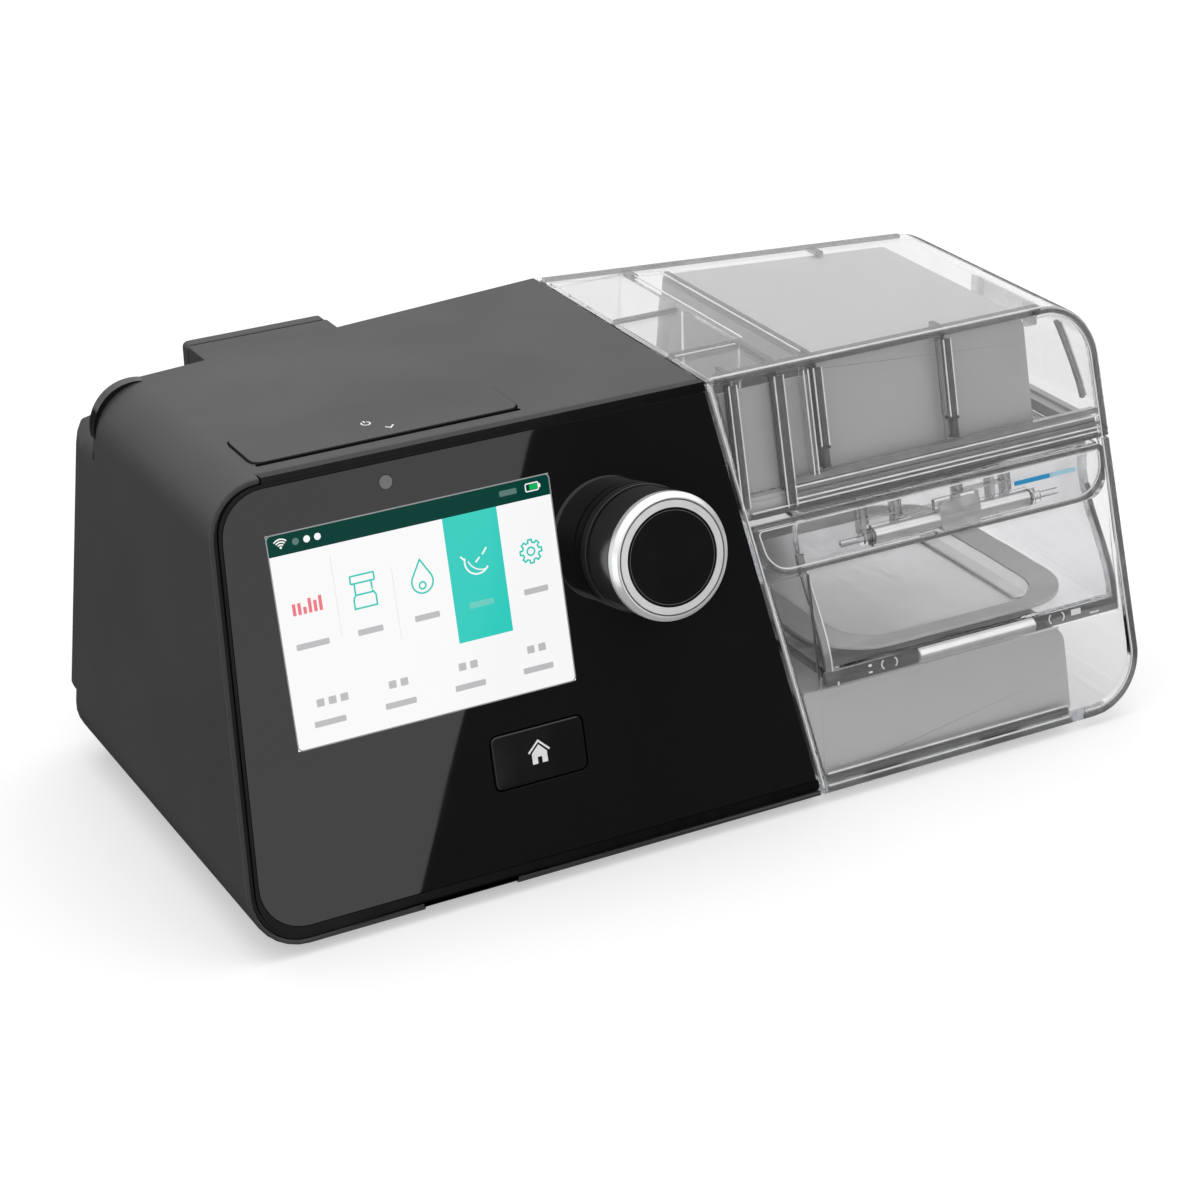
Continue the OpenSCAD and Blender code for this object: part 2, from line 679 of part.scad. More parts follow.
module knob_body() in_frame() color("#0b0b0c") at_dial() difference() {
    union() {
        translate([0, 0, knob_base]) tube(dial_r, dial_r - 2.4, ring_n - knob_base);
        translate([0, 0, ring_n - 2.4]) cylinder(r = dial_r - 1, h = 2.4);
        translate([0, 0, knob_base - 1.4]) cylinder(r = 5.6, h = ring_n - knob_base);
    }
    translate([0, 0, -5]) cylinder(r = shaft_r + 0.03, h = ring_n - 3.1 + 5);
}

module knob_ring() in_frame() color("#c8cacc") at_dial(ring_n) rotate_extrude($fn = 128) polygon(
    [[ring_in, 0], [dial_r, 0], [dial_r, ring_h - ring_bevel], [dial_r - ring_bevel, ring_h],
     [ring_in + 0.5, ring_h], [ring_in, ring_h - 0.5]]);

cap_r = ring_in - 0.2;
module knob_cap() in_frame() color("#060607") at_dial(ring_n) rotate_extrude($fn = 128) polygon(
    [[0, 0], [cap_r, 0], [cap_r, ring_h - 0.9], [cap_r - 0.4, ring_h - 0.5], [0, ring_h - 0.5]]);

// ---------------------------------------------------------------- start button
start_flange = 1.2;
start_stem = 5.4;
start_stems = [0.25, 0.75];
start_board_z = body_h - shell_wall - start_stem - start_travel - 2.6;

module start_button() in_frame() color("#2a2b2c") {
    g = button_gap;
    translate([start_x + g, start_y + g, body_h - shell_wall - 1])
        round_plate(start_w - 2 * g, start_d - 2 * g, 3 - g, shell_wall + 1 + start_proud);
    translate([start_x - start_flange, start_y - start_flange, body_h - shell_wall - 1.3])
        round_plate(start_w + 2 * start_flange, start_d + 2 * start_flange, 3, 1.05);
    for (s = start_stems) translate([start_x + s * start_w, start_y + start_d / 2,
        body_h - shell_wall - start_stem]) cylinder(r = 2, h = start_stem - 1);
}

module start_board() in_frame() color("#1f5a3c") {
    span([start_x - 4, start_y + 2, start_board_z],
        [start_x + start_w + 4, start_y + start_d - 2, start_board_z + board_t]);
    // posts up to the shell's underside
    for (x = [start_x - 4, start_x + start_w + 2.2]) span([x, start_y + 4, start_board_z + 1.5],
        [x + 1.8, start_y + start_d - 4, body_h - shell_wall - fit]);
}

module start_switches() in_frame() color("#c9ccce") for (s = start_stems)
    translate([start_x + s * start_w, start_y + start_d / 2, start_board_z + 1.65]) {
        translate([-3, -3, 0]) cube([6, 6, 0.5]);
        cylinder(r = 1.7, h = 0.8);
    }

// ---------------------------------------------------------------- electronics and blower
module power_board() in_frame() color("#1f5a3c")
    span([power_x.x, power_y.x, board_z + 0.05], [power_x.y, power_y.y, board_z + 0.05 + board_t]);

module power_parts() in_frame() color("#3b3f44") {
    z = board_z + board_t + 0.1;
    for (i = [0:3]) translate([38 + 11 * i, 33, z]) cylinder(r = 4, h = 12);
    span([78, 26, z], [92, 40, z + 8]);
    span([98, 27, z], [116, 38, z + 2.5]);
    span([122, 24, z], [130, 41, z + 6]);
}

// Flat cable from the display board down to the power board
module ribbon_cable() in_frame() color("#d8d2c4") {
    y0 = lean_y(24) - (board_n - board_t - 0.1) / cos(front_lean);
    along_x(50, 66) polygon([[y0, 24], [y0 + 2, 23.6], [y0 + 4.4, 20], [y0 + 6, board_z + board_t + 0.15],
        [y0 + 6.5, board_z + board_t + 0.15], [y0 + 4.9, 20.2], [y0 + 2.3, 24.2], [y0 + 0.1, 24.6]]);
}

rotor_z = blower_z + 12;

module at_blower(z = 0) translate([blower_x, blower_y, z]) children();

module blower_mounts() in_frame() color("#191919") for (a = post_angles)
    at_blower(blower_z - mount_h + 0.05) rotate(a) translate([post_spread, 0, 0])
        cylinder(r = 4.5, h = mount_h - 0.1);

module blower_base() in_frame() color("#4a4d50") difference() {
    at_blower(blower_z) cylinder(r = blower_r, h = 12);
    at_blower(blower_z + 2) cylinder(r = 15.2, h = 12);
}

module blower_cover() in_frame() color("#5a5d60") difference() {
    union() {
        at_blower(rotor_z + 0.05) cylinder(r = blower_r, h = 22);
        pipe_solid(blower_x, blower_x + 46);
    }
    at_blower(rotor_z) cylinder(r = blower_r - 2.5, h = 19.5);
    at_blower(rotor_z) cylinder(r = 13, h = 30);
    translate([blower_x, duct_y, duct_z]) rotate([0, 90, 0]) cylinder(r = duct_r - duct_wall, h = 60);
}

module pipe_solid(x0, x1) translate([x0, duct_y, duct_z]) rotate([0, 90, 0])
    cylinder(r = duct_r, h = x1 - x0);

module blower_motor() in_frame() color("#9b9ea1") {
    at_blower(blower_z + 2.1) cylinder(r = 14.9, h = 9.6);
    at_blower(blower_z + 11.6) cylinder(r = 1.5, h = 14);
}

module blower_impeller() in_frame() color("#d0d3d6") at_blower(rotor_z + 1.8) difference() {
    union() {
        cylinder(r = fan_r, h = 1.4);
        cylinder(r = 6, h = 13);
        for (i = [0:fan_blades - 1]) rotate(360 * i / fan_blades)
            translate([5, -0.6, 1]) cube([fan_r - 6.5, 1.2, 11]);
    }
    translate([0, 0, -1]) cylinder(r = 1.5 + run_fit, h = 20);
}

module silencer_foam() in_frame() color("#3a3a3a") difference() {
    span([blower_x - blower_r - 3, blower_y - 22, rotor_z + 22.3],
        [blower_x + blower_r + 5, blower_y + blower_r + 3, start_board_z - 3]);
    at_blower(0) cylinder(r = 13, h = 90);
}

duct_end = seam_x(duct_z) - shell_wall * ks - 0.5;

module blower_duct() in_frame() color("#3c3f42")
    pipe_x(blower_x + 46.1, duct_end, duct_y, duct_z, duct_r, duct_r - duct_wall);

module tank_boot() in_frame() color("#9fa2a5")
    pipe_x(duct_end + 0.1, tank_x - 0.4, duct_y, duct_z, duct_r, duct_r - duct_wall);

// ---------------------------------------------------------------- clear chamber
module clear_solid(t) intersection() {
    along_y(-5, 150) polygon(right_outline(t));
    behind_front(t);
    ahead_of_clear_rear(t);
}

skirt_v = 27.4;

module chamber_shell() in_frame() color([0.85, 0.87, 0.88, 0.4]) {
    difference() {
        intersection() {
            clear_solid(0);
            below(parting_z);
        }
        clear_solid(clear_wall);
        // opening that the tank fills
        on_front(-clear_wall - 1) linear_extrude(clear_wall + 3) polygon(
            [[tank_x - 1, skirt_v], [tank_x - 1, band_v - 0.8],
             [seam_x(band_v) - 4, band_v - 0.8], [seam_x(band_v) - 4, face_h],
             [right_x(tub_top) - clear_wall + 1, face_h], [right_x(tub_top) - clear_wall + 0.4, skirt_v]]);
        pipe_hole(seam_x(duct_z) - 4, seam_x(duct_z) + 8);
        translate([outlet_x, tank_back, outlet_z]) rotate([-90, 0, 0]) cylinder(r = outlet_r + 0.05, h = 40);
    }
    // boss around the air outlet
    translate([outlet_x, clear_rear_y(outlet_x, outlet_z) - 5, outlet_z]) rotate([-90, 0, 0])
        tube(outlet_r + 2.6, outlet_r + 0.05, 5 + boss_out);
    // ears of the cover's hinge
    for (x = hinge_places) at_hinge() for (side = [-1, 1]) translate([x + side * ear_off - ear_w / 2, 0, 0])
        difference() {
            union() {
                rotate([0, 90, 0]) cylinder(r = ear_r, h = ear_w);
                translate([0, -hinge_back - 1, -ear_r - 3]) cube([ear_w, hinge_back + 1, ear_r + 3 - parting_gap]);
            }
            translate([-1, 0, 0]) rotate([0, 90, 0]) cylinder(r = pin_r, h = ear_w + 2);
        }
}

boss_out = 4.6;
hinge_places = [22, body_w - seam_top - 27];
ear_w = 4;
ear_off = 6.2;
ear_r = 3.2;
pin_r = 1.5;
knuckle_w = 2 * ear_off - ear_w - 0.6;

module hinge_pins() in_frame() color("#b5b8ba") for (x = hinge_places) at_hinge()
    translate([x - ear_off - ear_w / 2, 0, 0]) rotate([0, 90, 0]) cylinder(r = pin_r - 0.02, h = 2 * ear_off + ear_w);

module heater_outline(t) polygon(rounded(
    [[seam_x(clear_wall) + seam_gap + clear_wall * ks + 0.6 + t, clear_wall + fit],
     [seam_x(26) + seam_gap + clear_wall * ks + 0.6 + t, heater_z - 3 - t],
     [heater_right - t, heater_z - 3 - t], [heater_right - t, clear_wall + fit]],
    [1, 1, 5, 1.5], 6));

module heater_base() in_frame() color("#9c9ea0") difference() {
    intersection() {
        along_y(0, 100) heater_outline(0);
        behind_front(clear_wall + 0.6);
    }
    intersection() {
        translate([0, 0, -5]) along_y(6, 98) heater_outline(2);
        behind_front(clear_wall + 2.6);
        below(heater_z - 5);
    }
}

plate_at = [tank_x + 17, 19];
plate_size = [tank_right - 18.5 - plate_at.x, 66];

module heater_plate() in_frame() color("#c4c6c8") translate([plate_at.x, plate_at.y, heater_z - 3 + 0.02])
    round_plate(plate_size.x, plate_size.y, 11, 2.98, 10);

module air_outlet() in_frame() color("#8d9092") {
    y0 = tank_back + 0.5;
    collar_y = clear_rear_y(outlet_x, outlet_z) + boss_out + 0.1;
    translate([outlet_x, 0, outlet_z]) rotate([-90, 0, 0]) difference() {
        union() {
            translate([0, 0, y0]) cylinder(r = outlet_r, h = collar_y - y0);
            translate([0, 0, collar_y]) cylinder(r = outlet_r + 2, h = 1.2);
            translate([0, 0, collar_y]) cylinder(r = outlet_r, h = outlet_end - collar_y);
        }
        translate([0, 0, y0 - 1]) cylinder(r = outlet_r - outlet_wall, h = outlet_end);
    }
}

// ---------------------------------------------------------------- clear cover
rib_w = 1.3;
// each rib: distance from the left, lower end up the front face
ribs = [[seam_top + 7.5, 79], [seam_top + 21, 79], [seam_top + 29, 84], [seam_top + 32.5, 85],
    [(seam_top + body_w) / 2 + 8, 85]];

module top_cover() in_frame() color([0.85, 0.87, 0.88, 0.4]) {
    difference() {
        intersection() {
            clear_solid(0);
            above(cover_z);
        }
        clear_solid(clear_wall);
    }
    // upright ribs behind the front wall
    for (r = ribs) intersection() {
        on_front(-clear_wall - 1.6) translate([r.x, r.y, 0]) cube([rib_w, face_h, 2.6]);
        difference() {
            clear_solid(0.1);
            clear_solid(clear_wall + 1.5);
        }
        above(liner_z);
    }
    // knuckles of the hinge
    for (x = hinge_places) at_hinge() translate([x - knuckle_w / 2, 0, 0]) difference() {
        union() {
            rotate([0, 90, 0]) cylinder(r = ear_r, h = knuckle_w);
            translate([0, -hinge_back - 1, 0]) cube([knuckle_w, hinge_back + 1, ear_r]);
        }
        translate([-1, 0, 0]) rotate([0, 90, 0]) cylinder(r = pin_r + 0.05, h = knuckle_w + 2);
    }
}

frame_h = 3.6;
frame_w = 5;
module ring_solid(t, w, z0, z1) intersection() {
    difference() {
        clear_solid(t);
        clear_solid(t + w);
    }
    above(z0);
    below(z1);
}

module cover_frame() in_frame() color([0.8, 0.82, 0.83, 0.5])
    ring_solid(clear_wall + 0.1, frame_w, cover_z + 0.2, cover_z + frame_h);

module cover_seal() in_frame() color("#6f7274")
    ring_solid(clear_wall + 0.4, 2.2, cover_z + frame_h + 0.02, cover_z + frame_h + 1);

liner_z = cover_z + frame_h + 1.1;
liner_top = body_h - clear_wall - 0.6;
liner_x = [seam_top + 33.6, body_w - 25];
liner_wall = 1.4;

module liner_solid(t) intersection() {
    along_y(0, 140) polygon(rounded(
        [[liner_x.x + t, liner_z - 2 * t], [liner_x.x + t, liner_top - t],
         [liner_x.y - t, liner_top - t], [liner_x.y - t, liner_z - 2 * t]], [1, 1, 3, 1], 5));
    behind_front(clear_wall + 3 + t);
    ahead_of_clear_rear(clear_wall + 4 + t);
}

module cover_liner() in_frame() color([0.72, 0.73, 0.74, 0.9]) {
    difference() {
        liner_solid(0);
        liner_solid(liner_wall);
    }
    // front panel of the small cells
    intersection() {
        on_front(-clear_wall - 3 - liner_wall) linear_extrude(liner_wall) polygon(
            [[seam_x(liner_z) + 4.6, liner_z / cos(front_lean) + 0.5],
             [seam_x(liner_top) + 5.6, (liner_top - 2) / cos(front_lean)],
             [liner_x.x + 0.5, (liner_top - 2) / cos(front_lean)],
             [liner_x.x + 0.5, liner_z / cos(front_lean) + 0.5]]);
        above(liner_z);
    }
}

cell_x = seam_top + 24.5;
cell_wall = 1.4;
cell_bars = [46.3, 76, 110];

module cell_divider() in_frame() color([0.8, 0.82, 0.83, 0.5]) intersection() {
    union() {
        span([cell_x - cell_wall, 0, liner_z], [cell_x, rear_top + 12, liner_top + 0.4]);
        for (y = cell_bars) span([seam_top, y, liner_z],
            [cell_x - cell_wall / 2, y + cell_wall, liner_top + 0.4]);
    }
    behind_front(clear_wall + 3.3 + liner_wall);
    ahead_of_clear_rear(clear_wall + 0.2);
    along_y(0, 140) polygon(right_outline(clear_wall + 0.1));
}

// ---------------------------------------------------------------- water tank
steps = 12;
function scoop_points(dy, z0, z1) = [for (i = [0:steps]) let (z = z0 + (z1 - z0) * i / steps)
    [scoop_y(z) + dy, z]];

bar_v = [28.6, 32.2];
base_at = plate_at - [2, 2];
base_size = plate_size + [4, 4];

module tank_tub() in_frame() color([0.82, 0.85, 0.87, 0.4]) {
    difference() {
        along_x(tank_x, tank_right) polygon(concat(scoop_points(0, tank_z, tub_top),
            [[tank_back, tub_top], [tank_back, tank_z]]));
        along_x(tank_x + tank_wall, tank_right - tank_wall) polygon(concat(
            scoop_points(tank_wall + 0.2, tank_z + tank_wall, tub_top + 1),
            [[tank_back - tank_wall, tub_top + 1], [tank_back - tank_wall, tank_z + tank_wall]]));
        // seat of the metal base
        translate([base_at.x - 0.15, base_at.y - 0.15, tank_z - 1])
            round_plate(base_size.x + 0.3, base_size.y + 0.3, 12, 6, 10);
        // air ports
        translate([tank_x - 1, duct_y, duct_z]) rotate([0, 90, 0]) cylinder(r = duct_r - duct_wall, h = 5);
        translate([outlet_x, tank_back - 4, outlet_z]) rotate([-90, 0, 0])
            cylinder(r = outlet_r - outlet_wall, h = 6);
    }
    // bar along the lower front edge, with the grip in its middle
    difference() {
        union() {
            on_front(-3) linear_extrude(3.3) polygon([[tank_x, bar_v.x], [tank_x, bar_v.y],
                [tank_right, bar_v.y], [tank_right, bar_v.x]]);
            on_front(0.2) translate([(tank_x + tank_right) / 2 - grip_w / 2, (bar_v.x + bar_v.y) / 2, 0])
                rotate([0, 90, 0]) cylinder(r = 1.75, h = grip_w);
        }
        below(tank_z);
        along_x(tank_x + tank_wall, tank_right - tank_wall) polygon(concat(
            scoop_points(tank_wall + 0.2, tank_z + tank_wall, tub_top),
            [[tank_back - tank_wall, tub_top], [tank_back - tank_wall, tank_z + tank_wall]]));
    }
}

module tank_base() in_frame() color("#c9cbcd") translate([base_at.x, base_at.y, tank_z])
    round_plate(base_size.x, base_size.y, 12, tank_wall + 0.8, 10);

module base_gasket() in_frame() color("#a3a5a7") translate([0, 0, tank_z + tank_wall + 0.02]) difference() {
    translate([base_at.x - 9, base_at.y - 5, 0]) round_plate(base_size.x + 18, base_size.y + 10, 17, 1, 10);
    translate([base_at.x - 0.15, base_at.y - 0.15, -1])
        round_plate(base_size.x + 0.3, base_size.y + 0.3, 12, 3, 10);
}

module tank_top_solid(inset, z0, z1) intersection() {
    span([tank_x + inset, 10, z0], [tank_right - inset, tank_back - inset, z1]);
    behind_front(clear_wall + 0.2 + inset);
}

module tank_seal() in_frame() color("#777a7c") difference() {
    span([tank_x + 0.2, scoop_y(tub_top) + 0.2, tub_top + 0.02], [tank_right - 0.2, tank_back - 0.2, lid_z - 0.02]);
    span([tank_x + 2, scoop_y(tub_top) + 2, tub_top - 1], [tank_right - 2, tank_back - 2, lid_z + 1]);
}

module tank_lid() in_frame() color([0.82, 0.85, 0.87, 0.4]) {
    tank_top_solid(0, lid_z, lid_z + lid_t);
    // rib that locates the lid inside the tub
    difference() {
        span([tank_x + 2.4, scoop_y(tub_top) + 2.6, tub_top - 2], [tank_right - 2.4, tank_back - 2.4, lid_z + 0.5]);
        span([tank_x + 4, scoop_y(tub_top) + 4.2, tub_top - 3], [tank_right - 4, tank_back - 4, lid_z]);
    }
}

band_top = (lid_z + lid_t + 0.3) / cos(front_lean);
band_left = seam_x(band_v) + seam_gap + 1.2;
latch_n = -clear_wall / 2;
latch_end = latch_x + latch_w;
tab_x = [latch_x + 20, latch_x + 32.6];
tab_v = [62, 69.6];

module tank_band() in_frame() color([0.82, 0.85, 0.87, 0.4]) difference() {
    union() {
        on_front(-clear_wall) linear_extrude(clear_wall) polygon(rounded(
            [[band_left, band_v], [seam_x(band_top) + seam_gap + 1.2, band_top],
             [tank_right - 0.2, band_top], [tank_right + 0.2, band_v]], [9, 1, 1, 6]));
        // ribs of the pockets behind the band
        for (x = [latch_x - 1.4, latch_x + 9, latch_x + 28.4, latch_x + 43.6]) intersection() {
            on_front(-6) translate([x, latch_v + latch_r + 0.8, 0]) cube([1.2, 20, 5]);
            below(lid_z - 0.1);
        }
        // ears that hold the latch pin
        for (x = [latch_x - 3.4, latch_end + 0.4]) on_front(latch_n) translate([x, latch_v, 0])
            rotate([0, 90, 0]) cylinder(r = latch_r, h = 3);
    }
    on_front(-7) translate([latch_x - 0.4, latch_v - latch_r - 0.5, 0])
        cube([latch_w + 0.8, 2 * latch_r + 1, 12]);
    on_front(-7) translate([tab_x.x - 0.6, tab_v.x - 1, 0])
        cube([tab_x.y - tab_x.x + 1.2, tab_v.y - tab_v.x + 1.6, 12]);
    on_front(latch_n) translate([latch_x - 10, latch_v, 0]) rotate([0, 90, 0])
        cylinder(r = latch_pin_r, h = latch_w + 20);
}

latch_pin_r = 0.9;

module latch_pin() in_frame() color("#b5b8ba") on_front(latch_n) translate([latch_x - 3.4, latch_v, 0])
    rotate([0, 90, 0]) cylinder(r = latch_pin_r - 0.01, h = latch_w + 6.8);

module latch_lever() in_frame() color([0.82, 0.85, 0.87, 0.5]) difference() {
    union() {
        for (x = [[latch_x, tab_x.x], [tab_x.y, latch_end]]) on_front(latch_n) translate([x.x, latch_v, 0])
            rotate([0, 90, 0]) cylinder(r = latch_r, h = x.y - x.x);
        on_front(latch_n) translate([tab_x.x - 0.1, latch_v, 0]) rotate([0, 90, 0])
            cylinder(r = latch_r - 0.5, h = tab_x.y - tab_x.x + 0.2);
        on_front(latch_n + 1) translate([tab_x.x, tab_v.x, 0]) round_plate(tab_x.y - tab_x.x,
            tab_v.y - tab_v.x, 1.6, 1.4);
    }
    on_front(latch_n) translate([latch_x - 1, latch_v, 0]) rotate([0, 90, 0])
        cylinder(r = latch_pin_r + 0.06, h = latch_w + 2);
}

main_shell();
base_plate();
rear_cover();
rear_rim();
filter_cap();
air_filter();
port_cover();
dc_jack();
jack_pin();
card_socket();
rubber_feet();
case_screws();
front_bezel();
front_glass();
screen_lens();
lcd_panel();
light_sensor();
front_chassis();
display_board();
home_button();
home_switch();
start_button();
start_board();
start_switches();
knob_collar();
encoder_body();
encoder_plunger();
encoder_shaft();
knob_body();
knob_ring();
knob_cap();
power_board();
power_parts();
ribbon_cable();
blower_base();
blower_cover();
blower_motor();
blower_impeller();
blower_mounts();
silencer_foam();
blower_duct();
tank_boot();
chamber_shell();
heater_base();
heater_plate();
air_outlet();
top_cover();
cover_liner();
cell_divider();
cover_frame();
cover_seal();
hinge_pins();
tank_tub();
tank_base();
base_gasket();
tank_lid();
tank_seal();
tank_band();
latch_lever();
latch_pin();
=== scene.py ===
# %% [markdown]
# # Dressing a bedside breathing-therapy machine
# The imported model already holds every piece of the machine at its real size: the black unit with its
# leaning front panel, and the clear humidifier beside it. This script moves none of them. It gives
# each piece a finish, rounds the edges that catch the light, and adds what is too fine for the
# construction model: the picture on the screen, the symbols, and the small clips of the clear side.

# %% Load the fixed frame
import json
import math

import bmesh
import bpy
from mathutils import Matrix, Vector


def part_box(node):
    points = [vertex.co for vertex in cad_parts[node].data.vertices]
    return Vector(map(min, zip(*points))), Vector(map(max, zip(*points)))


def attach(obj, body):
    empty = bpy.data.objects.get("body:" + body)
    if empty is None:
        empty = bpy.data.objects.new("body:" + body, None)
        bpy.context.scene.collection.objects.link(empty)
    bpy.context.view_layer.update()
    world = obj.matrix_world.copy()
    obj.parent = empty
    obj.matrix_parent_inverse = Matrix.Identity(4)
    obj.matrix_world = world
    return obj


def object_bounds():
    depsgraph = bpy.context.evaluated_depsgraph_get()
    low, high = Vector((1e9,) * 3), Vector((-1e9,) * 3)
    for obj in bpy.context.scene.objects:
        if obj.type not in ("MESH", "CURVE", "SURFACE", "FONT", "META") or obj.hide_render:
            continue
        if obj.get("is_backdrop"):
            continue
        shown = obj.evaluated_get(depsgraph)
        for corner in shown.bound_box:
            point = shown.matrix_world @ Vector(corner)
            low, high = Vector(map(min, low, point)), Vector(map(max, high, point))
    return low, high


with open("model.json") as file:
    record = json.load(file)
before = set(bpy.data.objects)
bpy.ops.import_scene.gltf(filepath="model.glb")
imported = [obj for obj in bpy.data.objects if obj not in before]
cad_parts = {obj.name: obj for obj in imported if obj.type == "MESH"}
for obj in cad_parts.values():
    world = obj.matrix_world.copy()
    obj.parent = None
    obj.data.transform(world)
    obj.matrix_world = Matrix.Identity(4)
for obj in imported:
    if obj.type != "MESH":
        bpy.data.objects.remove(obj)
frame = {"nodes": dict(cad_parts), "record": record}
cad_low, cad_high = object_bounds()
NODES = frame["nodes"]

# %% [markdown]
# ## Directions of the machine
# Designers of such a housing draw on its faces and not in world axes. The front panel leans back, so
# a point on it is easiest to give as a distance from the left edge and a height up the panel. The lean
# and the place of the panel aren't typed in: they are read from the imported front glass. The lowest
# face of the base plate gives the underside of the housing.

# %% Read the panel's lean and place from the model
MM = 0.001
HALF_WIDTH = 132.5  # half the width over both sides at the underside, in mm

glass_mesh = NODES["front_glass"].data
panel_face = max(glass_mesh.polygons, key=lambda face: -face.normal.y * face.area)
panel_out = panel_face.normal.copy()
panel_up = Vector((0, panel_out.z, -panel_out.y))
panel_point = glass_mesh.vertices[panel_face.vertices[0]].co
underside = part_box("base_plate")[0].z
front_edge = panel_point.y - panel_out.z / panel_out.y * (underside - panel_point.z)


def place(x, y, z):
    """A point in mm from the left, front, lower edges of the housing, in the frame's metres."""
    return Vector(((x - HALF_WIDTH) * MM, front_edge + y * MM, underside + z * MM))


def on_panel(x, v, n=0.0):
    """A point x mm from the left, v mm up the front panel and n mm in front of its glass."""
    return place(x, 0, 0) + (panel_up * v + panel_out * n) * MM


def face_height(node):
    """How far up the front panel the top of a node lies, in mm."""
    return (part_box(node)[1].z - underside) / MM / panel_up.z


lean = math.degrees(math.atan2(panel_out.z, -panel_out.y))
print(f"panel leans back {lean:.2f} degrees, underside at {underside / MM:.2f} mm")

# %% [markdown]
# ## The camera
# A product picture is believed when its perspective is right, so the camera comes before any finish.
# The place, the turn and the lens were found by matching corners of the housing in the photograph.
# A long lens from under a metre away keeps the sides nearly parallel.

# %% Place the camera
CAMERA_AT = Vector((-347.5, -661.1, 388.3)) * MM
CAMERA_YAW, CAMERA_DOWN, CAMERA_ROLL = (math.radians(a) for a in (27.710, 25.125, -1.369))
LENS, SENSOR = 91.46, 36.0

look = Vector((math.sin(CAMERA_YAW) * math.cos(CAMERA_DOWN),
               math.cos(CAMERA_YAW) * math.cos(CAMERA_DOWN), -math.sin(CAMERA_DOWN)))
level = look.cross(Vector((0, 0, 1))).normalized()
right = level * math.cos(CAMERA_ROLL) + level.cross(look) * math.sin(CAMERA_ROLL)
up = right.cross(look)
camera = bpy.data.objects.new("camera", bpy.data.cameras.new("camera"))
bpy.context.scene.collection.objects.link(camera)
camera.matrix_world = Matrix.Translation(CAMERA_AT) @ Matrix((right, up, -look)).transposed().to_4x4()
camera.data.lens, camera.data.sensor_width = LENS, SENSOR
camera.data.clip_start, camera.data.clip_end = 0.01, 50
bpy.context.scene.camera = camera
print(f"camera {camera.location.length:.2f} m away, lens {LENS} mm")

# %% [markdown]
# ## The studio
# The machine stands on white paper. The paper is white to the camera, and to the rays that pass through
# clear plastic, without being lit harder: light that the floor gives off itself fills what the lamps
# leave short of white. That light would also wash out the shadow under the machine, so the paper is
# made darker for the same rays, and the shadow keeps its depth.

# %% Node helpers
def new_material(name):
    """An empty node material and its node tree."""
    material = bpy.data.materials.new(name)
    material.use_nodes = True
    material.node_tree.nodes.clear()
    return material, material.node_tree


def node(tree, kind, inputs=None, **settings):
    """Adds a node, sets its properties, and sets or links its inputs."""
    made = tree.nodes.new(kind)
    for key, value in settings.items():
        setattr(made, key, value)
    for key, value in (inputs or {}).items():
        if isinstance(value, bpy.types.NodeSocket):
            tree.links.new(value, made.inputs[key])
        else:
            made.inputs[key].default_value = value
    return made


def maths(tree, operation, first, second=0.0):
    """The result of one Math node."""
    return node(tree, "ShaderNodeMath", {0: first, 1: second}, operation=operation).outputs[0]


def sees_background(tree):
    """1 for rays from the camera or through clear plastic, 0 for light that falls on surfaces."""
    path = node(tree, "ShaderNodeLightPath")
    return maths(tree, "MAXIMUM", path.outputs["Is Camera Ray"], path.outputs["Is Transmission Ray"])


# %% White paper floor
PAPER, PAPER_SEEN, PAPER_GLOW = 0.8, 0.66, 0.42
FLOOR_HALF = 3.0

paper, tree = new_material("white_paper")
lit = node(tree, "ShaderNodeBsdfDiffuse", {"Color": (PAPER, PAPER, PAPER, 1)})
dimmed = node(tree, "ShaderNodeBsdfDiffuse", {"Color": (PAPER_SEEN, PAPER_SEEN, PAPER_SEEN, 1)})
glow = node(tree, "ShaderNodeEmission", {"Color": (1, 1, 1, 1), "Strength": PAPER_GLOW})
backed = node(tree, "ShaderNodeAddShader", {0: dimmed.outputs[0], 1: glow.outputs[0]})
either = node(tree, "ShaderNodeMixShader", {0: sees_background(tree), 1: lit.outputs[0],
                                            2: backed.outputs[0]})
node(tree, "ShaderNodeOutputMaterial", {"Surface": either.outputs[0]})

floor_corners = [(x * FLOOR_HALF, y * FLOOR_HALF, 0) for x, y in ((-1, -1), (1, -1), (1, 1), (-1, 1))]
floor_mesh = bpy.data.meshes.new("floor")
floor_mesh.from_pydata(floor_corners, [], [(0, 1, 2, 3)])
floor = bpy.data.objects.new("floor", floor_mesh)
bpy.context.scene.collection.objects.link(floor)
floor_mesh.materials.append(paper)
floor.visible_glossy = False
floor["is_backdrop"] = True
print(f"floor {2 * FLOOR_HALF:.0f} m square")

# %% [markdown]
# Gloss black shows whatever stands round it, so what stands there is chosen as carefully as the lamps.
# Most of it is dark cloth under a soft ceiling. One tall light card stands in front, and its straight
# edge draws the slanted grey sheen over the glass. To put that edge in the right place, the camera is
# mirrored in the glass, and the card's edge is laid in the plane through the mirrored camera and the
# two ends of the sheen.

# %% Where the sheen's edge lies
SHEEN_TOP, SHEEN_FOOT = on_panel(91.1, 111.1), on_panel(45.0, 4.7)
mirrored_camera = CAMERA_AT - 2 * (CAMERA_AT - panel_point).dot(panel_out) * panel_out
sheen_plane = (SHEEN_FOOT - mirrored_camera).cross(SHEEN_TOP - mirrored_camera).normalized()
if sheen_plane.x > 0:
    sheen_plane = -sheen_plane
print("the light card ends at the plane facing", [round(c, 3) for c in sheen_plane])

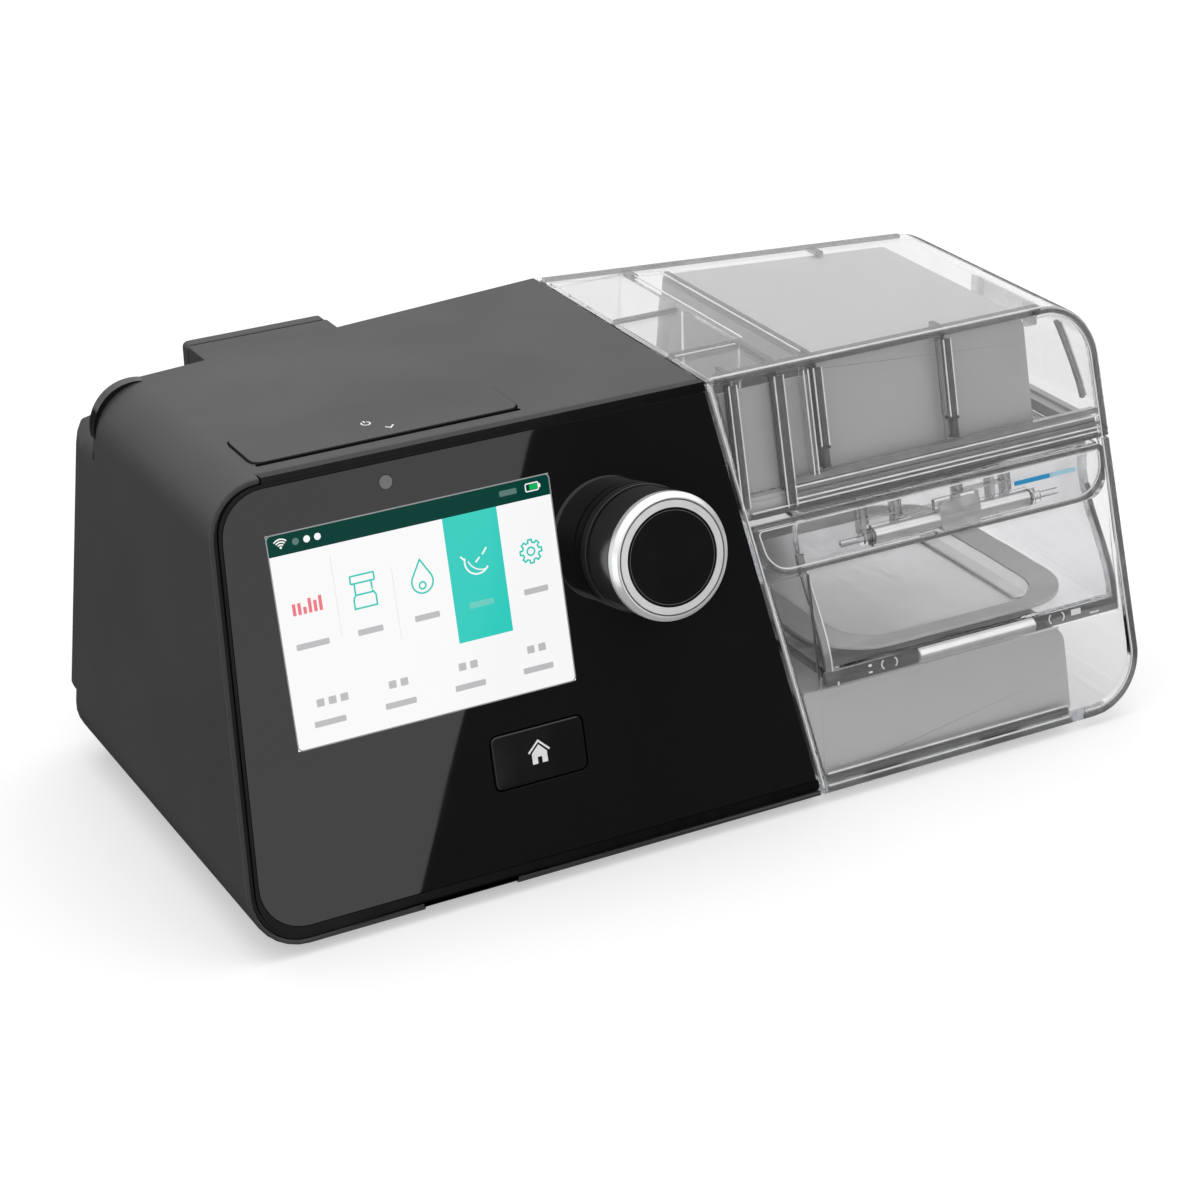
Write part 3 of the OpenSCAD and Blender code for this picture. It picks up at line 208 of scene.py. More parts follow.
# %% [markdown]
# The surroundings are painted on the world by direction: the card on the right in front, a second card
# low on the left for the side of the dial and its ring, the ceiling, and a pale wall behind, which gives
# the backs of the clear walls something to mirror. Only gloss sees this picture. Matt surfaces get a
# plain soft light from above, and the camera sees white.

# %% Surroundings that only gloss sees
CARD, CLOTH, STUDIO_WALL, CEILING = 1.35, 0.07, 0.95, 1.25
AMBIENT_LOW, AMBIENT_HIGH = 0.3, 0.8


def product(tree, *factors):
    """All factors multiplied with each other."""
    result = factors[0]
    for factor in factors[1:]:
        result = maths(tree, "MULTIPLY", result, factor)
    return result


def brightest(tree, *lights):
    """The largest of several brightnesses."""
    result = lights[0]
    for light in lights[1:]:
        result = maths(tree, "MAXIMUM", result, light)
    return result


def rising(tree, value, start, end):
    """0 below the start, 1 above the end, and a soft step between the two."""
    return node(tree, "ShaderNodeMapRange", {"Value": value, "From Min": start, "From Max": end},
                interpolation_type="SMOOTHSTEP").outputs[0]


world = bpy.data.worlds.new("studio")
bpy.context.scene.world = world
world.use_nodes = True
tree = world.node_tree
tree.nodes.clear()
direction = node(tree, "ShaderNodeTexCoord").outputs["Generated"]
axes = node(tree, "ShaderNodeSeparateXYZ", {0: direction})
to_right, to_back, to_top = (axes.outputs[axis] for axis in "XYZ")
beside = node(tree, "ShaderNodeVectorMath", {0: direction, 1: sheen_plane}, operation="DOT_PRODUCT")
front_card = product(tree, maths(tree, "GREATER_THAN", beside.outputs["Value"], 0.0),
                     maths(tree, "GREATER_THAN", to_right, 0.12),
                     maths(tree, "LESS_THAN", to_back, -0.5), CARD)
left_card = product(tree, maths(tree, "LESS_THAN", to_right, -0.72), maths(tree, "LESS_THAN", to_top, 0.25),
                    maths(tree, "GREATER_THAN", to_top, -0.45), CARD)
ceiling = product(tree, rising(tree, to_top, 0.05, 0.5), CEILING)
back_wall = product(tree, rising(tree, to_back, -0.1, 0.5), rising(tree, to_top, -0.05, 0.1), STUDIO_WALL)
gloss = brightest(tree, back_wall, ceiling, front_card, left_card, CLOTH)
ambient = node(tree, "ShaderNodeMapRange", {"Value": to_top, "From Min": -0.3, "From Max": 0.8,
                                            "To Min": AMBIENT_LOW, "To Max": AMBIENT_HIGH})
path = node(tree, "ShaderNodeLightPath")
lighting = node(tree, "ShaderNodeMix", {0: path.outputs["Is Glossy Ray"], 2: ambient.outputs[0], 3: gloss})
strength = node(tree, "ShaderNodeMix", {0: sees_background(tree), 2: lighting.outputs[0], 3: 1.0})
shine = node(tree, "ShaderNodeBackground", {"Color": (1, 1, 1, 1), "Strength": strength.outputs[0]})
node(tree, "ShaderNodeOutputWorld", {"Surface": shine.outputs[0]})
print(f"world of {len(tree.nodes)} nodes")

# %% [markdown]
# The light itself comes from two soft lamps: a large one over the machine, like a ceiling, and a smaller
# one at the front left. Neither is seen in gloss, because the painted surroundings take care of that.
# Their strength is given as the brightness of their faces, as with a real softbox: a larger one of the
# same brightness also gives more light, and softer shadows.
#
# Rays through clear plastic meet many surfaces one behind another. With too few bounces allowed, the
# places where several walls overlap turn black, so the limits are set high.

# %% Lamps and bounces
LAMP_RADIANCE = 1.3
BOUNCES, CLEAR_LAYERS = 48, 24


def soft_light(name, centre, toward, width, height, radiance):
    """A rectangular lamp facing a point. Its power is worked out from how bright its face looks."""
    lamp = bpy.data.lights.new(name, "AREA")
    lamp.shape, lamp.size, lamp.size_y = "RECTANGLE", width, height
    lamp.energy = radiance * math.pi * width * height
    made = bpy.data.objects.new(name, lamp)
    bpy.context.scene.collection.objects.link(made)
    made.matrix_world = (Matrix.Translation(centre)
                         @ (centre - toward).to_track_quat("Z", "Y").to_matrix().to_4x4())
    made.visible_camera = made.visible_transmission = made.visible_glossy = False
    return made


middle = (cad_low + cad_high) / 2
soft_light("ceiling", Vector((0.05, 0.15, 1.2)), middle, 1.3, 1.0, LAMP_RADIANCE)
soft_light("front_left", Vector((-0.35, -1.35, 0.65)), middle, 0.8, 0.8, LAMP_RADIANCE)

scene = bpy.context.scene
scene.view_settings.view_transform = "Standard"
scene.cycles.max_bounces = BOUNCES
scene.cycles.transmission_bounces = BOUNCES
scene.cycles.glossy_bounces = BOUNCES
scene.cycles.transparent_max_bounces = CLEAR_LAYERS
print(f"{len(bpy.data.lights)} lamps, {BOUNCES} bounces")

# %% [markdown]
# ## Rounded edges
# A moulded edge is never a perfect knife edge: it has a radius of a few tenths of a millimetre, and
# that radius is where the highlights sit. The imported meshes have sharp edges, so a stack of modifiers
# rounds them: weld the seams of the import, merge the flat triangles into whole faces, bevel what is
# sharper than an angle, and shade everything below that angle smooth. The mesh itself stays as it is.

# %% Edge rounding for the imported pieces
SMOOTH_BELOW = math.radians(28)
FLAT_WITHIN = math.radians(0.3)
WELD_WITHIN = 0.02 * MM


def smoothing_group():
    """Node group that shades faces smooth across edges flatter than SMOOTH_BELOW."""
    group = bpy.data.node_groups.new("smooth_by_angle", "GeometryNodeTree")
    for way in ("INPUT", "OUTPUT"):
        group.interface.new_socket("Geometry", in_out=way, socket_type="NodeSocketGeometry")
    source = node(group, "NodeGroupInput")
    plain = node(group, "GeometryNodeRemoveAttribute",
                 {"Geometry": source.outputs[0], "Name": "custom_normal"})
    faces = node(group, "GeometryNodeSetShadeSmooth", {"Geometry": plain.outputs[0]}, domain="FACE")
    angle = node(group, "GeometryNodeInputMeshEdgeAngle")
    flat = node(group, "FunctionNodeCompare", {"A": angle.outputs["Unsigned Angle"], "B": SMOOTH_BELOW},
                operation="LESS_EQUAL")
    edges = node(group, "GeometryNodeSetShadeSmooth", {"Geometry": faces.outputs[0],
                                                       "Shade Smooth": flat.outputs[0]}, domain="EDGE")
    node(group, "NodeGroupOutput", {0: edges.outputs[0]})
    return group


SMOOTHING = smoothing_group()


def soften(obj, radius, steps=2, clamp=True):
    """Rounds an object's sharp edges by a radius in mm, without changing its mesh."""
    weld = obj.modifiers.new("weld", "WELD")
    weld.merge_threshold = WELD_WITHIN
    flatten = obj.modifiers.new("flatten", "DECIMATE")
    flatten.decimate_type, flatten.angle_limit = "DISSOLVE", FLAT_WITHIN
    if radius:
        bevel = obj.modifiers.new("edge", "BEVEL")
        bevel.width, bevel.segments = radius * MM, steps
        bevel.limit_method, bevel.angle_limit = "ANGLE", SMOOTH_BELOW
        bevel.use_clamp_overlap = clamp
    shade = obj.modifiers.new("shade", "NODES")
    shade.node_group = SMOOTHING
    normals = obj.modifiers.new("flat_faces_stay_flat", "WEIGHTED_NORMAL")
    normals.keep_sharp, normals.weight = True, 100


EDGE_RADII = {"main_shell": 0.5, "rear_cover": 0.5, "front_bezel": 0.15, "front_glass": 0.15, "rear_rim": 0,
              "knob_ring": 0.25, "knob_body": 0.3, "knob_cap": 0.3, "knob_collar": 0.3, "start_button": 0.3,
              "home_button": 0.5, "chamber_shell": 0.5, "top_cover": 0.5, "tank_tub": 0.4, "tank_band": 0.4,
              "tank_lid": 0.4, "cover_liner": 0.5, "heater_base": 0.6, "heater_plate": 0.4, "air_outlet": 0.3,
              "rubber_feet": 0.4, "filter_cap": 0.4, "latch_lever": 0.25, "cover_frame": 0.4,
              "cell_divider": 0.2, "tank_base": 0.3, "base_gasket": 0.2, "port_cover": 0.2, "base_plate": 0.3,
              "dc_jack": 0.2}
UNCLAMPED = ("main_shell", "rear_cover", "chamber_shell", "top_cover", "tank_tub")
for name, piece in NODES.items():
    soften(piece, EDGE_RADII.get(name, 0.0), clamp=name not in UNCLAMPED)
print(f"{len(EDGE_RADII)} pieces with rounded edges")

# %% [markdown]
# ## Finishes
# No surface of a real machine is one flat colour. A moulding carries the fine grain of its tool, gloss
# black carries wiping marks, turned metal carries rings, and each of them varies a little in roughness
# from place to place. Every finish here is built from one soft noise pattern that is measured in
# millimetres on the piece itself, so a grain keeps its real size on small and large pieces alike.

# %% Patterns measured in millimetres
def on_piece(tree, stretch=(1, 1, 1)):
    """The point on the piece that is being shaded, stretched along the axes."""
    spot = node(tree, "ShaderNodeTexCoord").outputs["Object"]
    return node(tree, "ShaderNodeMapping", {"Vector": spot, "Scale": stretch}).outputs[0]


def mottle(tree, size, low, high, detail=3.0, stretch=(1, 1, 1)):
    """Soft blotches of a size in mm, as numbers from low to high."""
    noise = node(tree, "ShaderNodeTexNoise", {"Vector": on_piece(tree, stretch), "Scale": 1 / (size * MM),
                                              "Detail": detail})
    return node(tree, "ShaderNodeMapRange", {"Value": noise.outputs[0], "From Min": 0.3, "From Max": 0.7,
                                             "To Min": low, "To Max": high}).outputs[0]


def raised(tree, pattern, depth):
    """A bump whose pattern from 0 to 1 stands for a depth in mm."""
    return node(tree, "ShaderNodeBump", {"Height": pattern, "Distance": depth * MM}).outputs[0]


def between(tree, pattern, first, second):
    """A colour that goes from the first to the second as the pattern goes from 0 to 1."""
    mixed = node(tree, "ShaderNodeMix", {0: pattern, 6: (*first, 1), 7: (*second, 1)}, data_type="RGBA")
    return mixed.outputs[2]


def wandering(tree, colour, spread, size):
    """A colour that gets a share lighter and darker over blotches of a size in mm."""
    darker, lighter = (tuple(c * (1 + side * spread) for c in colour) for side in (-1, 1))
    return between(tree, mottle(tree, size, 0, 1), darker, lighter)


def surface(name, inputs, **numbers):
    """A material of one shader. Inputs are functions that make a pattern, or plain values."""
    material, tree = new_material(name)
    made = {socket: value(tree) if callable(value) else value for socket, value in inputs.items()}
    made.update({socket.replace("_", " "): value for socket, value in numbers.items()})
    shader = node(tree, "ShaderNodeBsdfPrincipled", made)
    node(tree, "ShaderNodeOutputMaterial", {"Surface": shader.outputs[0]})
    return material


# %% [markdown]
# Plastic, rubber and print differ in three things only: how deep and how wide the grain is, how much
# the colour wanders, and how rough the skin is. One function makes them all. The black housing has the
# spark-eroded grain of its steel mould, and the silicone has a soft skin that holds a little dust.

# %% Plastic, rubber and print
def moulded(name, colour, roughness, spread=0.06, blotch=22.0, grain=0.45, depth=0.008, **numbers):
    """A finish whose colour and gloss wander over blotches, under a fine grain, all sizes in mm."""
    inputs = {"Base Color": lambda tree: wandering(tree, colour, spread, blotch),
              "Roughness": lambda tree: mottle(tree, blotch * 0.6, roughness * 0.92, roughness * 1.08)}
    if depth:
        inputs["Normal"] = lambda tree: raised(tree, mottle(tree, grain, 0, 1, 2.0), depth)
    return surface(name, inputs, **numbers)


SILICONE, RUBBER = (0.6, 0.6, 0.605), (0.022, 0.022, 0.022)
FINISHES = {
    "shell_black": moulded("shell_black", (0.034, 0.034, 0.035), 0.48, 0.025, 60, depth=0.014),
    "sensor_window": moulded("sensor_window", (0.16, 0.16, 0.162), 0.2, blotch=1.5, grain=0.3, depth=0.002),
    "liner_grey": moulded("liner_grey", (0.44, 0.44, 0.445), 0.5, 0.03, 35, 0.4, 0.006),
    "heater_grey": moulded("heater_grey", (0.49, 0.49, 0.495), 0.5, 0.03, 30, 0.5, 0.006),
    "outlet_grey": moulded("outlet_grey", (0.45, 0.45, 0.455), 0.4, 0.04, 12, 0.4, 0.004),
    "silicone_grey": moulded("silicone_grey", SILICONE, 0.55, 0.05, 9, 0.8, 0.012, Sheen_Weight=0.15),
    "rubber_black": moulded("rubber_black", RUBBER, 0.75, 0.25, 4, 0.5, 0.02, Sheen_Weight=0.1),
    "inner_plastic": moulded("inner_plastic", (0.03, 0.031, 0.032), 0.45, 0.12, 15, 0.8, 0.01),
    "board_part": moulded("board_part", (0.02, 0.02, 0.021), 0.6, 0.2, 3, 0.25, 0.01),
    "fan_white": moulded("fan_white", (0.72, 0.72, 0.7), 0.45, 0.05, 6, 0.35, 0.01),
}
print(f"{len(FINISHES)} moulded finishes")

# %% [markdown]
# Gloss black needs no grain. What it shows are the marks of a cloth: long faint smears in which the
# mirror is a little duller. The rim round the glass is darker than the glass, because its rounded
# profile turns the light away, so its gloss is held down. A gap is shown by painted shade: a black
# without any gloss, since no light comes back from a gap.

# %% Gloss black
def polished(name, colour, roughness, smear=9.0, **numbers):
    """A mirror-smooth finish with smears from wiping."""
    inputs = {"Base Color": lambda tree: wandering(tree, colour, 0.1, 30),
              "Roughness": lambda tree: mottle(tree, smear, roughness, roughness * 1.7, 4.0, (1, 1, 0.35))}
    return surface(name, inputs, **numbers)


FINISHES["panel_glass"] = polished("panel_glass", (0.006, 0.006, 0.006), 0.01)
FINISHES["panel_gloss"] = polished("panel_gloss", (0.006, 0.006, 0.006), 0.05)
rim_black = polished("rim_black", (0.005, 0.005, 0.005), 0.12, 5.0, Specular_IOR_Level=0.12)
# Painted shade: black without gloss, laid where a gap would be dark.
gap_shade_black = moulded("gap_shade_black", (0.004, 0.004, 0.004), 0.6, 0.2, 4, Specular_IOR_Level=0.0)
print("gloss black finishes:", ", ".join(name for name in FINISHES if name.startswith("panel")))

# %% [markdown]
# Metal is told apart by the direction of its marks. Sheet is brushed or rolled one way, so its noise
# is stretched along one axis. The dial's ring is turned on a lathe, and its marks run in rings round
# the dial's own axis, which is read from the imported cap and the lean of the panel.

# %% Brushed and rolled metal
def brushed(name, colour, roughness, stretch=(0.03, 1, 1), line=0.25, depth=0.002, **numbers):
    """Metal with fine lines along one axis, a few tenths of a millimetre apart."""
    numbers.setdefault("Metallic", 1.0)
    inputs = {"Base Color": lambda tree: wandering(tree, colour, 0.04, 14),
              "Roughness": lambda tree: mottle(tree, line, roughness * 0.8, roughness * 1.2, 2.0, stretch),
              "Normal": lambda tree: raised(tree, mottle(tree, line, 0, 1, 2.0, stretch), depth)}
    return surface(name, inputs, **numbers)


FINISHES["steel"] = brushed("steel", (0.6, 0.6, 0.61), 0.3)
FINISHES["tank_metal"] = brushed("tank_metal", (0.9, 0.9, 0.9), 0.45, (1, 0.03, 1), depth=0.0002)
FINISHES["heater_metal"] = brushed("heater_metal", (0.74, 0.74, 0.73), 0.35, (1, 0.03, 1))
FINISHES["lcd_frame"] = brushed("lcd_frame", (0.55, 0.56, 0.57), 0.4)
FINISHES["switch_metal"] = brushed("switch_metal", (0.66, 0.67, 0.68), 0.3, (1, 1, 0.03))
FINISHES["spring_brass"] = brushed("spring_brass", (0.72, 0.52, 0.22), 0.28, (1, 1, 0.03))

# %% Turned metal and the black side of the dial
cap_low, cap_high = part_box("knob_cap")
dial_middle = (cap_low + cap_high) / 2
DIAL_TURN = panel_out.to_track_quat("Z", "Y").to_euler()
WAVE = math.pi / 10  # a Wave texture at scale 1 repeats after this length


def lathe_rings(tree, pitch):
    """Rings round the dial's axis with a pitch in mm, as numbers from 0 to 1."""
    spot = node(tree, "ShaderNodeTexCoord").outputs["Object"]
    centred = node(tree, "ShaderNodeMapping", {"Vector": spot, "Location": dial_middle,
                                               "Rotation": DIAL_TURN}, vector_type="TEXTURE")
    return node(tree, "ShaderNodeTexWave", {"Vector": centred.outputs[0], "Scale": WAVE / (pitch * MM),
                                            "Distortion": 0.6, "Detail": 2.0},
                wave_type="RINGS", rings_direction="Z").outputs["Fac"]


def turned(name, colour, roughness, pitch=0.35, depth=0.003, **numbers):
    """A lathe-turned finish."""
    inputs = {"Base Color": lambda tree: wandering(tree, colour, 0.03, 8),
              "Roughness": lambda tree: mottle(tree, 3.0, roughness * 0.85, roughness * 1.15),
              "Normal": lambda tree: raised(tree, lathe_rings(tree, pitch), depth)}
    return surface(name, inputs, **numbers)


FINISHES["knob_metal"] = turned("knob_metal", (0.93, 0.93, 0.93), 0.22, Metallic=0.5)
FINISHES["knob_black"] = polished("knob_black", (0.006, 0.006, 0.006), 0.06, 4.0)
dial_black = polished("dial_black", (0.022, 0.022, 0.022), 0.11, 5.0, Specular_IOR_Level=0.8)
# A darker copy of the turned metal: painted shade of the dial's groove, and the colour of the cap's fine
# line.
dark_metal = turned("dark_metal", (0.16, 0.16, 0.16), 0.35, Metallic=0.8)
print(f"dial axis leans {lean:.2f} degrees up from level")

# %% [markdown]
# The pieces inside are seen only when the housing is taken apart, but they get their finish as well:
# printed tracks on the boards, wires side by side in the flat cable, cells in the foam, and fibres in
# the air filter.

# %% Boards, cable, foam and filter
def tracks(tree):
    """Copper tracks under the green lacquer, 9 mm apart."""
    return node(tree, "ShaderNodeTexBrick", {"Vector": on_piece(tree), "Scale": 1 / (9 * MM),
                                             "Mortar Size": 0.05, "Color1": (0, 0, 0, 1),
                                             "Color2": (0, 0, 0, 1), "Mortar": (1, 1, 1, 1)}).outputs["Fac"]


def wires(tree):
    """Conductors side by side in the flat cable, 1 mm apart."""
    return node(tree, "ShaderNodeTexWave", {"Vector": on_piece(tree), "Scale": WAVE / MM,
                                            "Distortion": 0.1}, bands_direction="X").outputs["Fac"]


def cells(tree, size):
    """Open cells of a size in mm."""
    pattern = node(tree, "ShaderNodeTexVoronoi", {"Vector": on_piece(tree), "Scale": 1 / (size * MM)})
    return pattern.outputs["Distance"]


FINISHES["circuit_board"] = surface("circuit_board", {
    "Base Color": lambda tree: between(tree, tracks(tree), (0.01, 0.09, 0.03), (0.03, 0.2, 0.07)),
    "Roughness": lambda tree: mottle(tree, 5, 0.28, 0.4),
    "Normal": lambda tree: raised(tree, tracks(tree), 0.03)})
FINISHES["ribbon"] = surface("ribbon", {
    "Base Color": lambda tree: between(tree, wires(tree), (0.72, 0.7, 0.62), (0.4, 0.4, 0.38)),
    "Roughness": lambda tree: mottle(tree, 4, 0.3, 0.45),
    "Normal": lambda tree: raised(tree, wires(tree), 0.05)})
FOAM_CELL = 1.2
FINISHES["foam_black"] = surface("foam_black", {
    "Base Color": lambda tree: between(tree, cells(tree, FOAM_CELL), (0.01, 0.01, 0.01), (0.05, 0.05, 0.052)),
    "Roughness": lambda tree: mottle(tree, 5, 0.85, 1.0),
    "Normal": lambda tree: raised(tree, cells(tree, FOAM_CELL), 0.5)})
FINISHES["filter_white"] = surface("filter_white", {
    "Base Color": lambda tree: wandering(tree, (0.76, 0.77, 0.78), 0.05, 6),
    "Roughness": lambda tree: mottle(tree, 1.0, 0.8, 1.0),
    "Normal": lambda tree: raised(tree, mottle(tree, 0.5, 0, 1, 4.0, (1, 1, 0.2)), 0.12)}, Sheen_Weight=0.2)
print(f"{len(FINISHES)} finishes for solid pieces")

# %% [markdown]
# ## Clear plastic
# A clear wall needs both of its sides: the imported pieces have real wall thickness, so light can enter
# and leave. Bending it as strongly as real plastic does would fill the walls with noise in a small
# picture, so the bend is gentle, and a full gloss lies on top as a coat. Absorption in the depth gives
# the edges their grey. Shadow rays pass straight through, which keeps the inside as bright as it is.
# Frames and seals are milky, the latch is thicker and glossier than the walls, and its pin, which is
# made of the same clear plastic, can hardly be seen.

# %% Clear plastic
BEND, COAT_BEND = 1.2, 1.5


def clear_plastic(name, depth_colour, density, roughness=0.025):
    """Clear plastic with a gloss coat and a grey tint in its depth."""
    material, tree = new_material(name)
    scuffed = mottle(tree, 7.0, roughness, roughness * 1.8, 4.0)
    shader = node(tree, "ShaderNodeBsdfPrincipled",
                  {"Base Color": (0.95, 0.95, 0.955, 1), "Roughness": scuffed, "Transmission Weight": 1.0,
                   "IOR": BEND, "Coat Weight": 1.0, "Coat IOR": COAT_BEND, "Coat Roughness": 0.03})
    clear = node(tree, "ShaderNodeBsdfTransparent", {"Color": (0.94, 0.94, 0.94, 1)})
    path = node(tree, "ShaderNodeLightPath")
    mix = node(tree, "ShaderNodeMixShader", {0: path.outputs["Is Shadow Ray"], 1: shader.outputs[0],
                                             2: clear.outputs[0]})
    absorb = node(tree, "ShaderNodeVolumeAbsorption", {"Color": (*depth_colour, 1), "Density": density})
    node(tree, "ShaderNodeOutputMaterial", {"Surface": mix.outputs[0], "Volume": absorb.outputs[0]})
    return material


FINISHES["clear_plastic"] = clear_plastic("clear_plastic", (0.72, 0.73, 0.74), 24)
frosted = moulded("frosted_rim", (0.56, 0.56, 0.565), 0.4, 0.04, 12, 0.6, 0.006, Alpha=0.85)
latch_gloss = moulded("latch_gloss", (0.85, 0.85, 0.855), 0.09, blotch=6, depth=0.0, Metallic=0.5,
                      Alpha=0.66, Coat_Weight=1.0)
pin_clear = moulded("pin_clear", (0.6, 0.6, 0.605), 0.2, blotch=6, depth=0.0, Alpha=0.2)
print(f"clear plastic bends by {BEND}, its coat by {COAT_BEND}")

# %% [markdown]
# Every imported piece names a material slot, and most pieces take the finish of their slot. A few look
# different from others in the same slot and get a finish of their own.

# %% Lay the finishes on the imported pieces
FINISHES["screen"] = FINISHES["panel_glass"]
OWN_FINISH = {"cover_frame": frosted, "cover_seal": frosted, "tank_seal": frosted, "front_bezel": rim_black,
              "latch_lever": latch_gloss, "latch_pin": pin_clear, "knob_body": dial_black,
              "knob_collar": dial_black}
slot_of = {part["node"]: part["material_slot"] for part in frame["record"]["subparts"]}
for name, piece in NODES.items():
    piece.data.materials.clear()
    piece.data.materials.append(OWN_FINISH.get(name) or FINISHES[slot_of[name]])
print(f"{len(FINISHES)} finishes on {len(NODES)} pieces")

# %% [markdown]
# ## Flat shapes for symbols
# The screen's picture and the printed symbols are flat. A picture file would do on a flat card, but
# here each sign is a thin plate of real geometry, so its edge stays sharp at any distance. Two shapes
# are enough: a filled outline, and a stroke of even width along a line, open or closed. The same
# plates serve later as ribs and rims of the clear side.

# %% Outlines in the plane of the panel
def circle(x, y, radius, count=32, start=0.0, turn=360.0):
    """Points round a circle or along part of it, in mm."""
    last = count if turn >= 360 else count - 1
    angles = [math.radians(start + turn * i / last) for i in range(count)]
    return [Vector((x + radius * math.cos(a), y + radius * math.sin(a))) for a in angles]


def area(left, foot, right, top):
    """A rectangle between four sides."""
    return [Vector(corner) for corner in ((left, foot), (right, foot), (right, top), (left, top))]


def bar(x, y, width, height, radius=0.0):
    """A rectangle about its middle, with round corners where a radius is given."""
    if not radius:
        return area(x - width / 2, y - height / 2, x + width / 2, y + height / 2)
    outline = []
    for start, i, j in ((180, -1, -1), (270, 1, -1), (0, 1, 1), (90, -1, 1)):
        outline += circle(x + i * (width / 2 - radius), y + j * (height / 2 - radius), radius, 7, start, 90)
    return outline


print(f"a full circle has {len(circle(0, 0, 1))} points")

# %% [markdown]
# A stroke is the line moved sideways to both sides. At a corner the two moved pieces of line have to
# meet, so the corner point goes out along the middle direction by a little more than half the width. That
# is a mitre, as on a picture frame. On a very sharp corner the mitre would shoot out, so it is limited.

# %% Strokes along a line
SHARPEST = 0.4  # the mitre is never longer than the half width divided by this


def offset(points, distance, closed):
    """The line of points moved sideways, with its corners mitred."""
    moved = []
    count = len(points)
    for i, point in enumerate(points):
        before = points[i - 1] if closed or i else None
        after = points[(i + 1) % count] if closed or i < count - 1 else None
        ways = [w.normalized() for w in ((point - before) if before else None,
                                         (after - point) if after else None) if w]
        across = sum((Vector((-w.y, w.x)) for w in ways), Vector((0, 0))).normalized()
        shorten = max(across.dot(Vector((-ways[0].y, ways[0].x))), SHARPEST)
        moved.append(point + across * distance / shorten)
    return moved


def stroke(points, width, closed=False):
    """Outer and inner line of a stroke. An open stroke is one filled outline."""
    points = [Vector(p) for p in points]
    left, right = offset(points, width / 2, closed), offset(points, -width / 2, closed)
    return (left, right) if closed else left + right[::-1]


print(f"a stroke along 3 points has {len(stroke([(0, 0), (1, 0), (1, 1)], 0.2))} corners")

# %% [markdown]
# A shape becomes a plate by setting it up twice, at two heights over its surface, and closing the sides.
# Where the shape lies is a function of its own: the same plate can lie on the leaning panel, on the flat
# top or on the dial. Each colour or finish is one object, and it rides on the body that carries it.

# %% Plates with a real thickness
def add_plate(bm, shape, low, high, at):
    """Adds a filled outline, or the area between two closed lines, from height low to high in mm."""
    loops = shape if isinstance(shape, tuple) else (shape,)
    layers = [[[bm.verts.new(at(p.x, p.y, n)) for p in loop] for loop in loops] for n in (low, high)]
    for k in range(len(loops)):
        count = len(loops[k])
        for i in range(count):
            j = (i + 1) % count
            bm.faces.new((layers[0][k][i], layers[0][k][j], layers[1][k][j], layers[1][k][i]))
    for layer in layers:
        if len(loops) == 1:
            bm.faces.new(layer[0])
        else:
            count = len(layer[0])
            for i in range(count):
                j = (i + 1) % count
                bm.faces.new((layer[0][i], layer[0][j], layer[1][j], layer[1][i]))


def finish_piece(bm, name, body, material):
    """Makes an object of the mesh, gives it a finish and hangs it on a body."""
    bmesh.ops.recalc_face_normals(bm, faces=bm.faces)
    mesh = bpy.data.meshes.new(name)
    bm.to_mesh(mesh)
    bm.free()
    made = bpy.data.objects.new(name, mesh)
    bpy.context.scene.collection.objects.link(made)
    mesh.materials.append(material)
    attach(made, body)
    return made


def plates(name, shapes, low, high, material, body="root", at=on_panel):
    """One piece of several flat shapes in the same plane."""
    bm = bmesh.new()
    for shape in shapes:
        add_plate(bm, shape, low, high, at)
    return finish_piece(bm, name, body, material)


# %% [markdown]
# ## The screen
# The display shines through its window. Each colour of the picture is one piece, which gives off its
# colour as light and still has the gloss of the window on top. The columns are laid out on the real
# screen: a status bar, five menu signs, and small values below them. Words and figures are plain bars.

# %% Colours that shine
def shining(name, colour, strength=0.9, gloss=0.25):
    """A glossy surface that gives off its colour as light, with the gloss a little uneven."""
    inputs = {"Roughness": lambda tree: mottle(tree, 9, 0.04, 0.09, 4.0)}
    return surface(name, inputs, Base_Color=(0, 0, 0, 1), Emission_Color=(*colour, 1),
                   Emission_Strength=strength, Specular_IOR_Level=gloss)


white, teal = shining("screen_white", (1, 1, 1), 0.93), shining("screen_teal", (0.02, 0.62, 0.53))
dark_teal = shining("screen_dark_teal", (0.0, 0.052, 0.038), gloss=0.06)
turquoise = shining("screen_turquoise", (0.03, 0.66, 0.56))
pink, grey = shining("screen_pink", (0.92, 0.2, 0.25)), shining("screen_grey", (0.56, 0.56, 0.58))
green = shining("screen_green", (0.0, 0.5, 0.1))
faint, dim = shining("screen_faint", (0.83, 0.83, 0.84)), shining("screen_dim", (0.1, 0.2, 0.18))
NODES["screen_lens"].data.materials[0] = white
print(f"{len({white, teal, dark_teal, turquoise, pink, grey, green, faint, dim})} colours that shine")

# %% Size of the screen
screen_low, screen_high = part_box("screen_lens")
SCREEN_LEFT, SCREEN_RIGHT = (side.x / MM + HALF_WIDTH for side in (screen_low, screen_high))
SCREEN_TOP, SCREEN_TALL = face_height("screen_lens"), 52.8
SCREEN_MID, SCREEN_WIDE = (SCREEN_LEFT + SCREEN_RIGHT) / 2, SCREEN_RIGHT - SCREEN_LEFT
STATUS_H = 5.2
SIGN_LOW, FIELD_TOP, SIGN_TOP = -0.3, 0.02, 0.04  # where the plates begin and end, from the glass


def on_screen(name, shapes, material, top=SIGN_TOP):
    """One colour of the picture, as plates that end top mm in front of the glass."""
    return plates(name, shapes, SIGN_LOW, top, material)


print(f"screen {SCREEN_WIDE:.1f} mm wide, top at {SCREEN_TOP:.1f} mm up the panel")

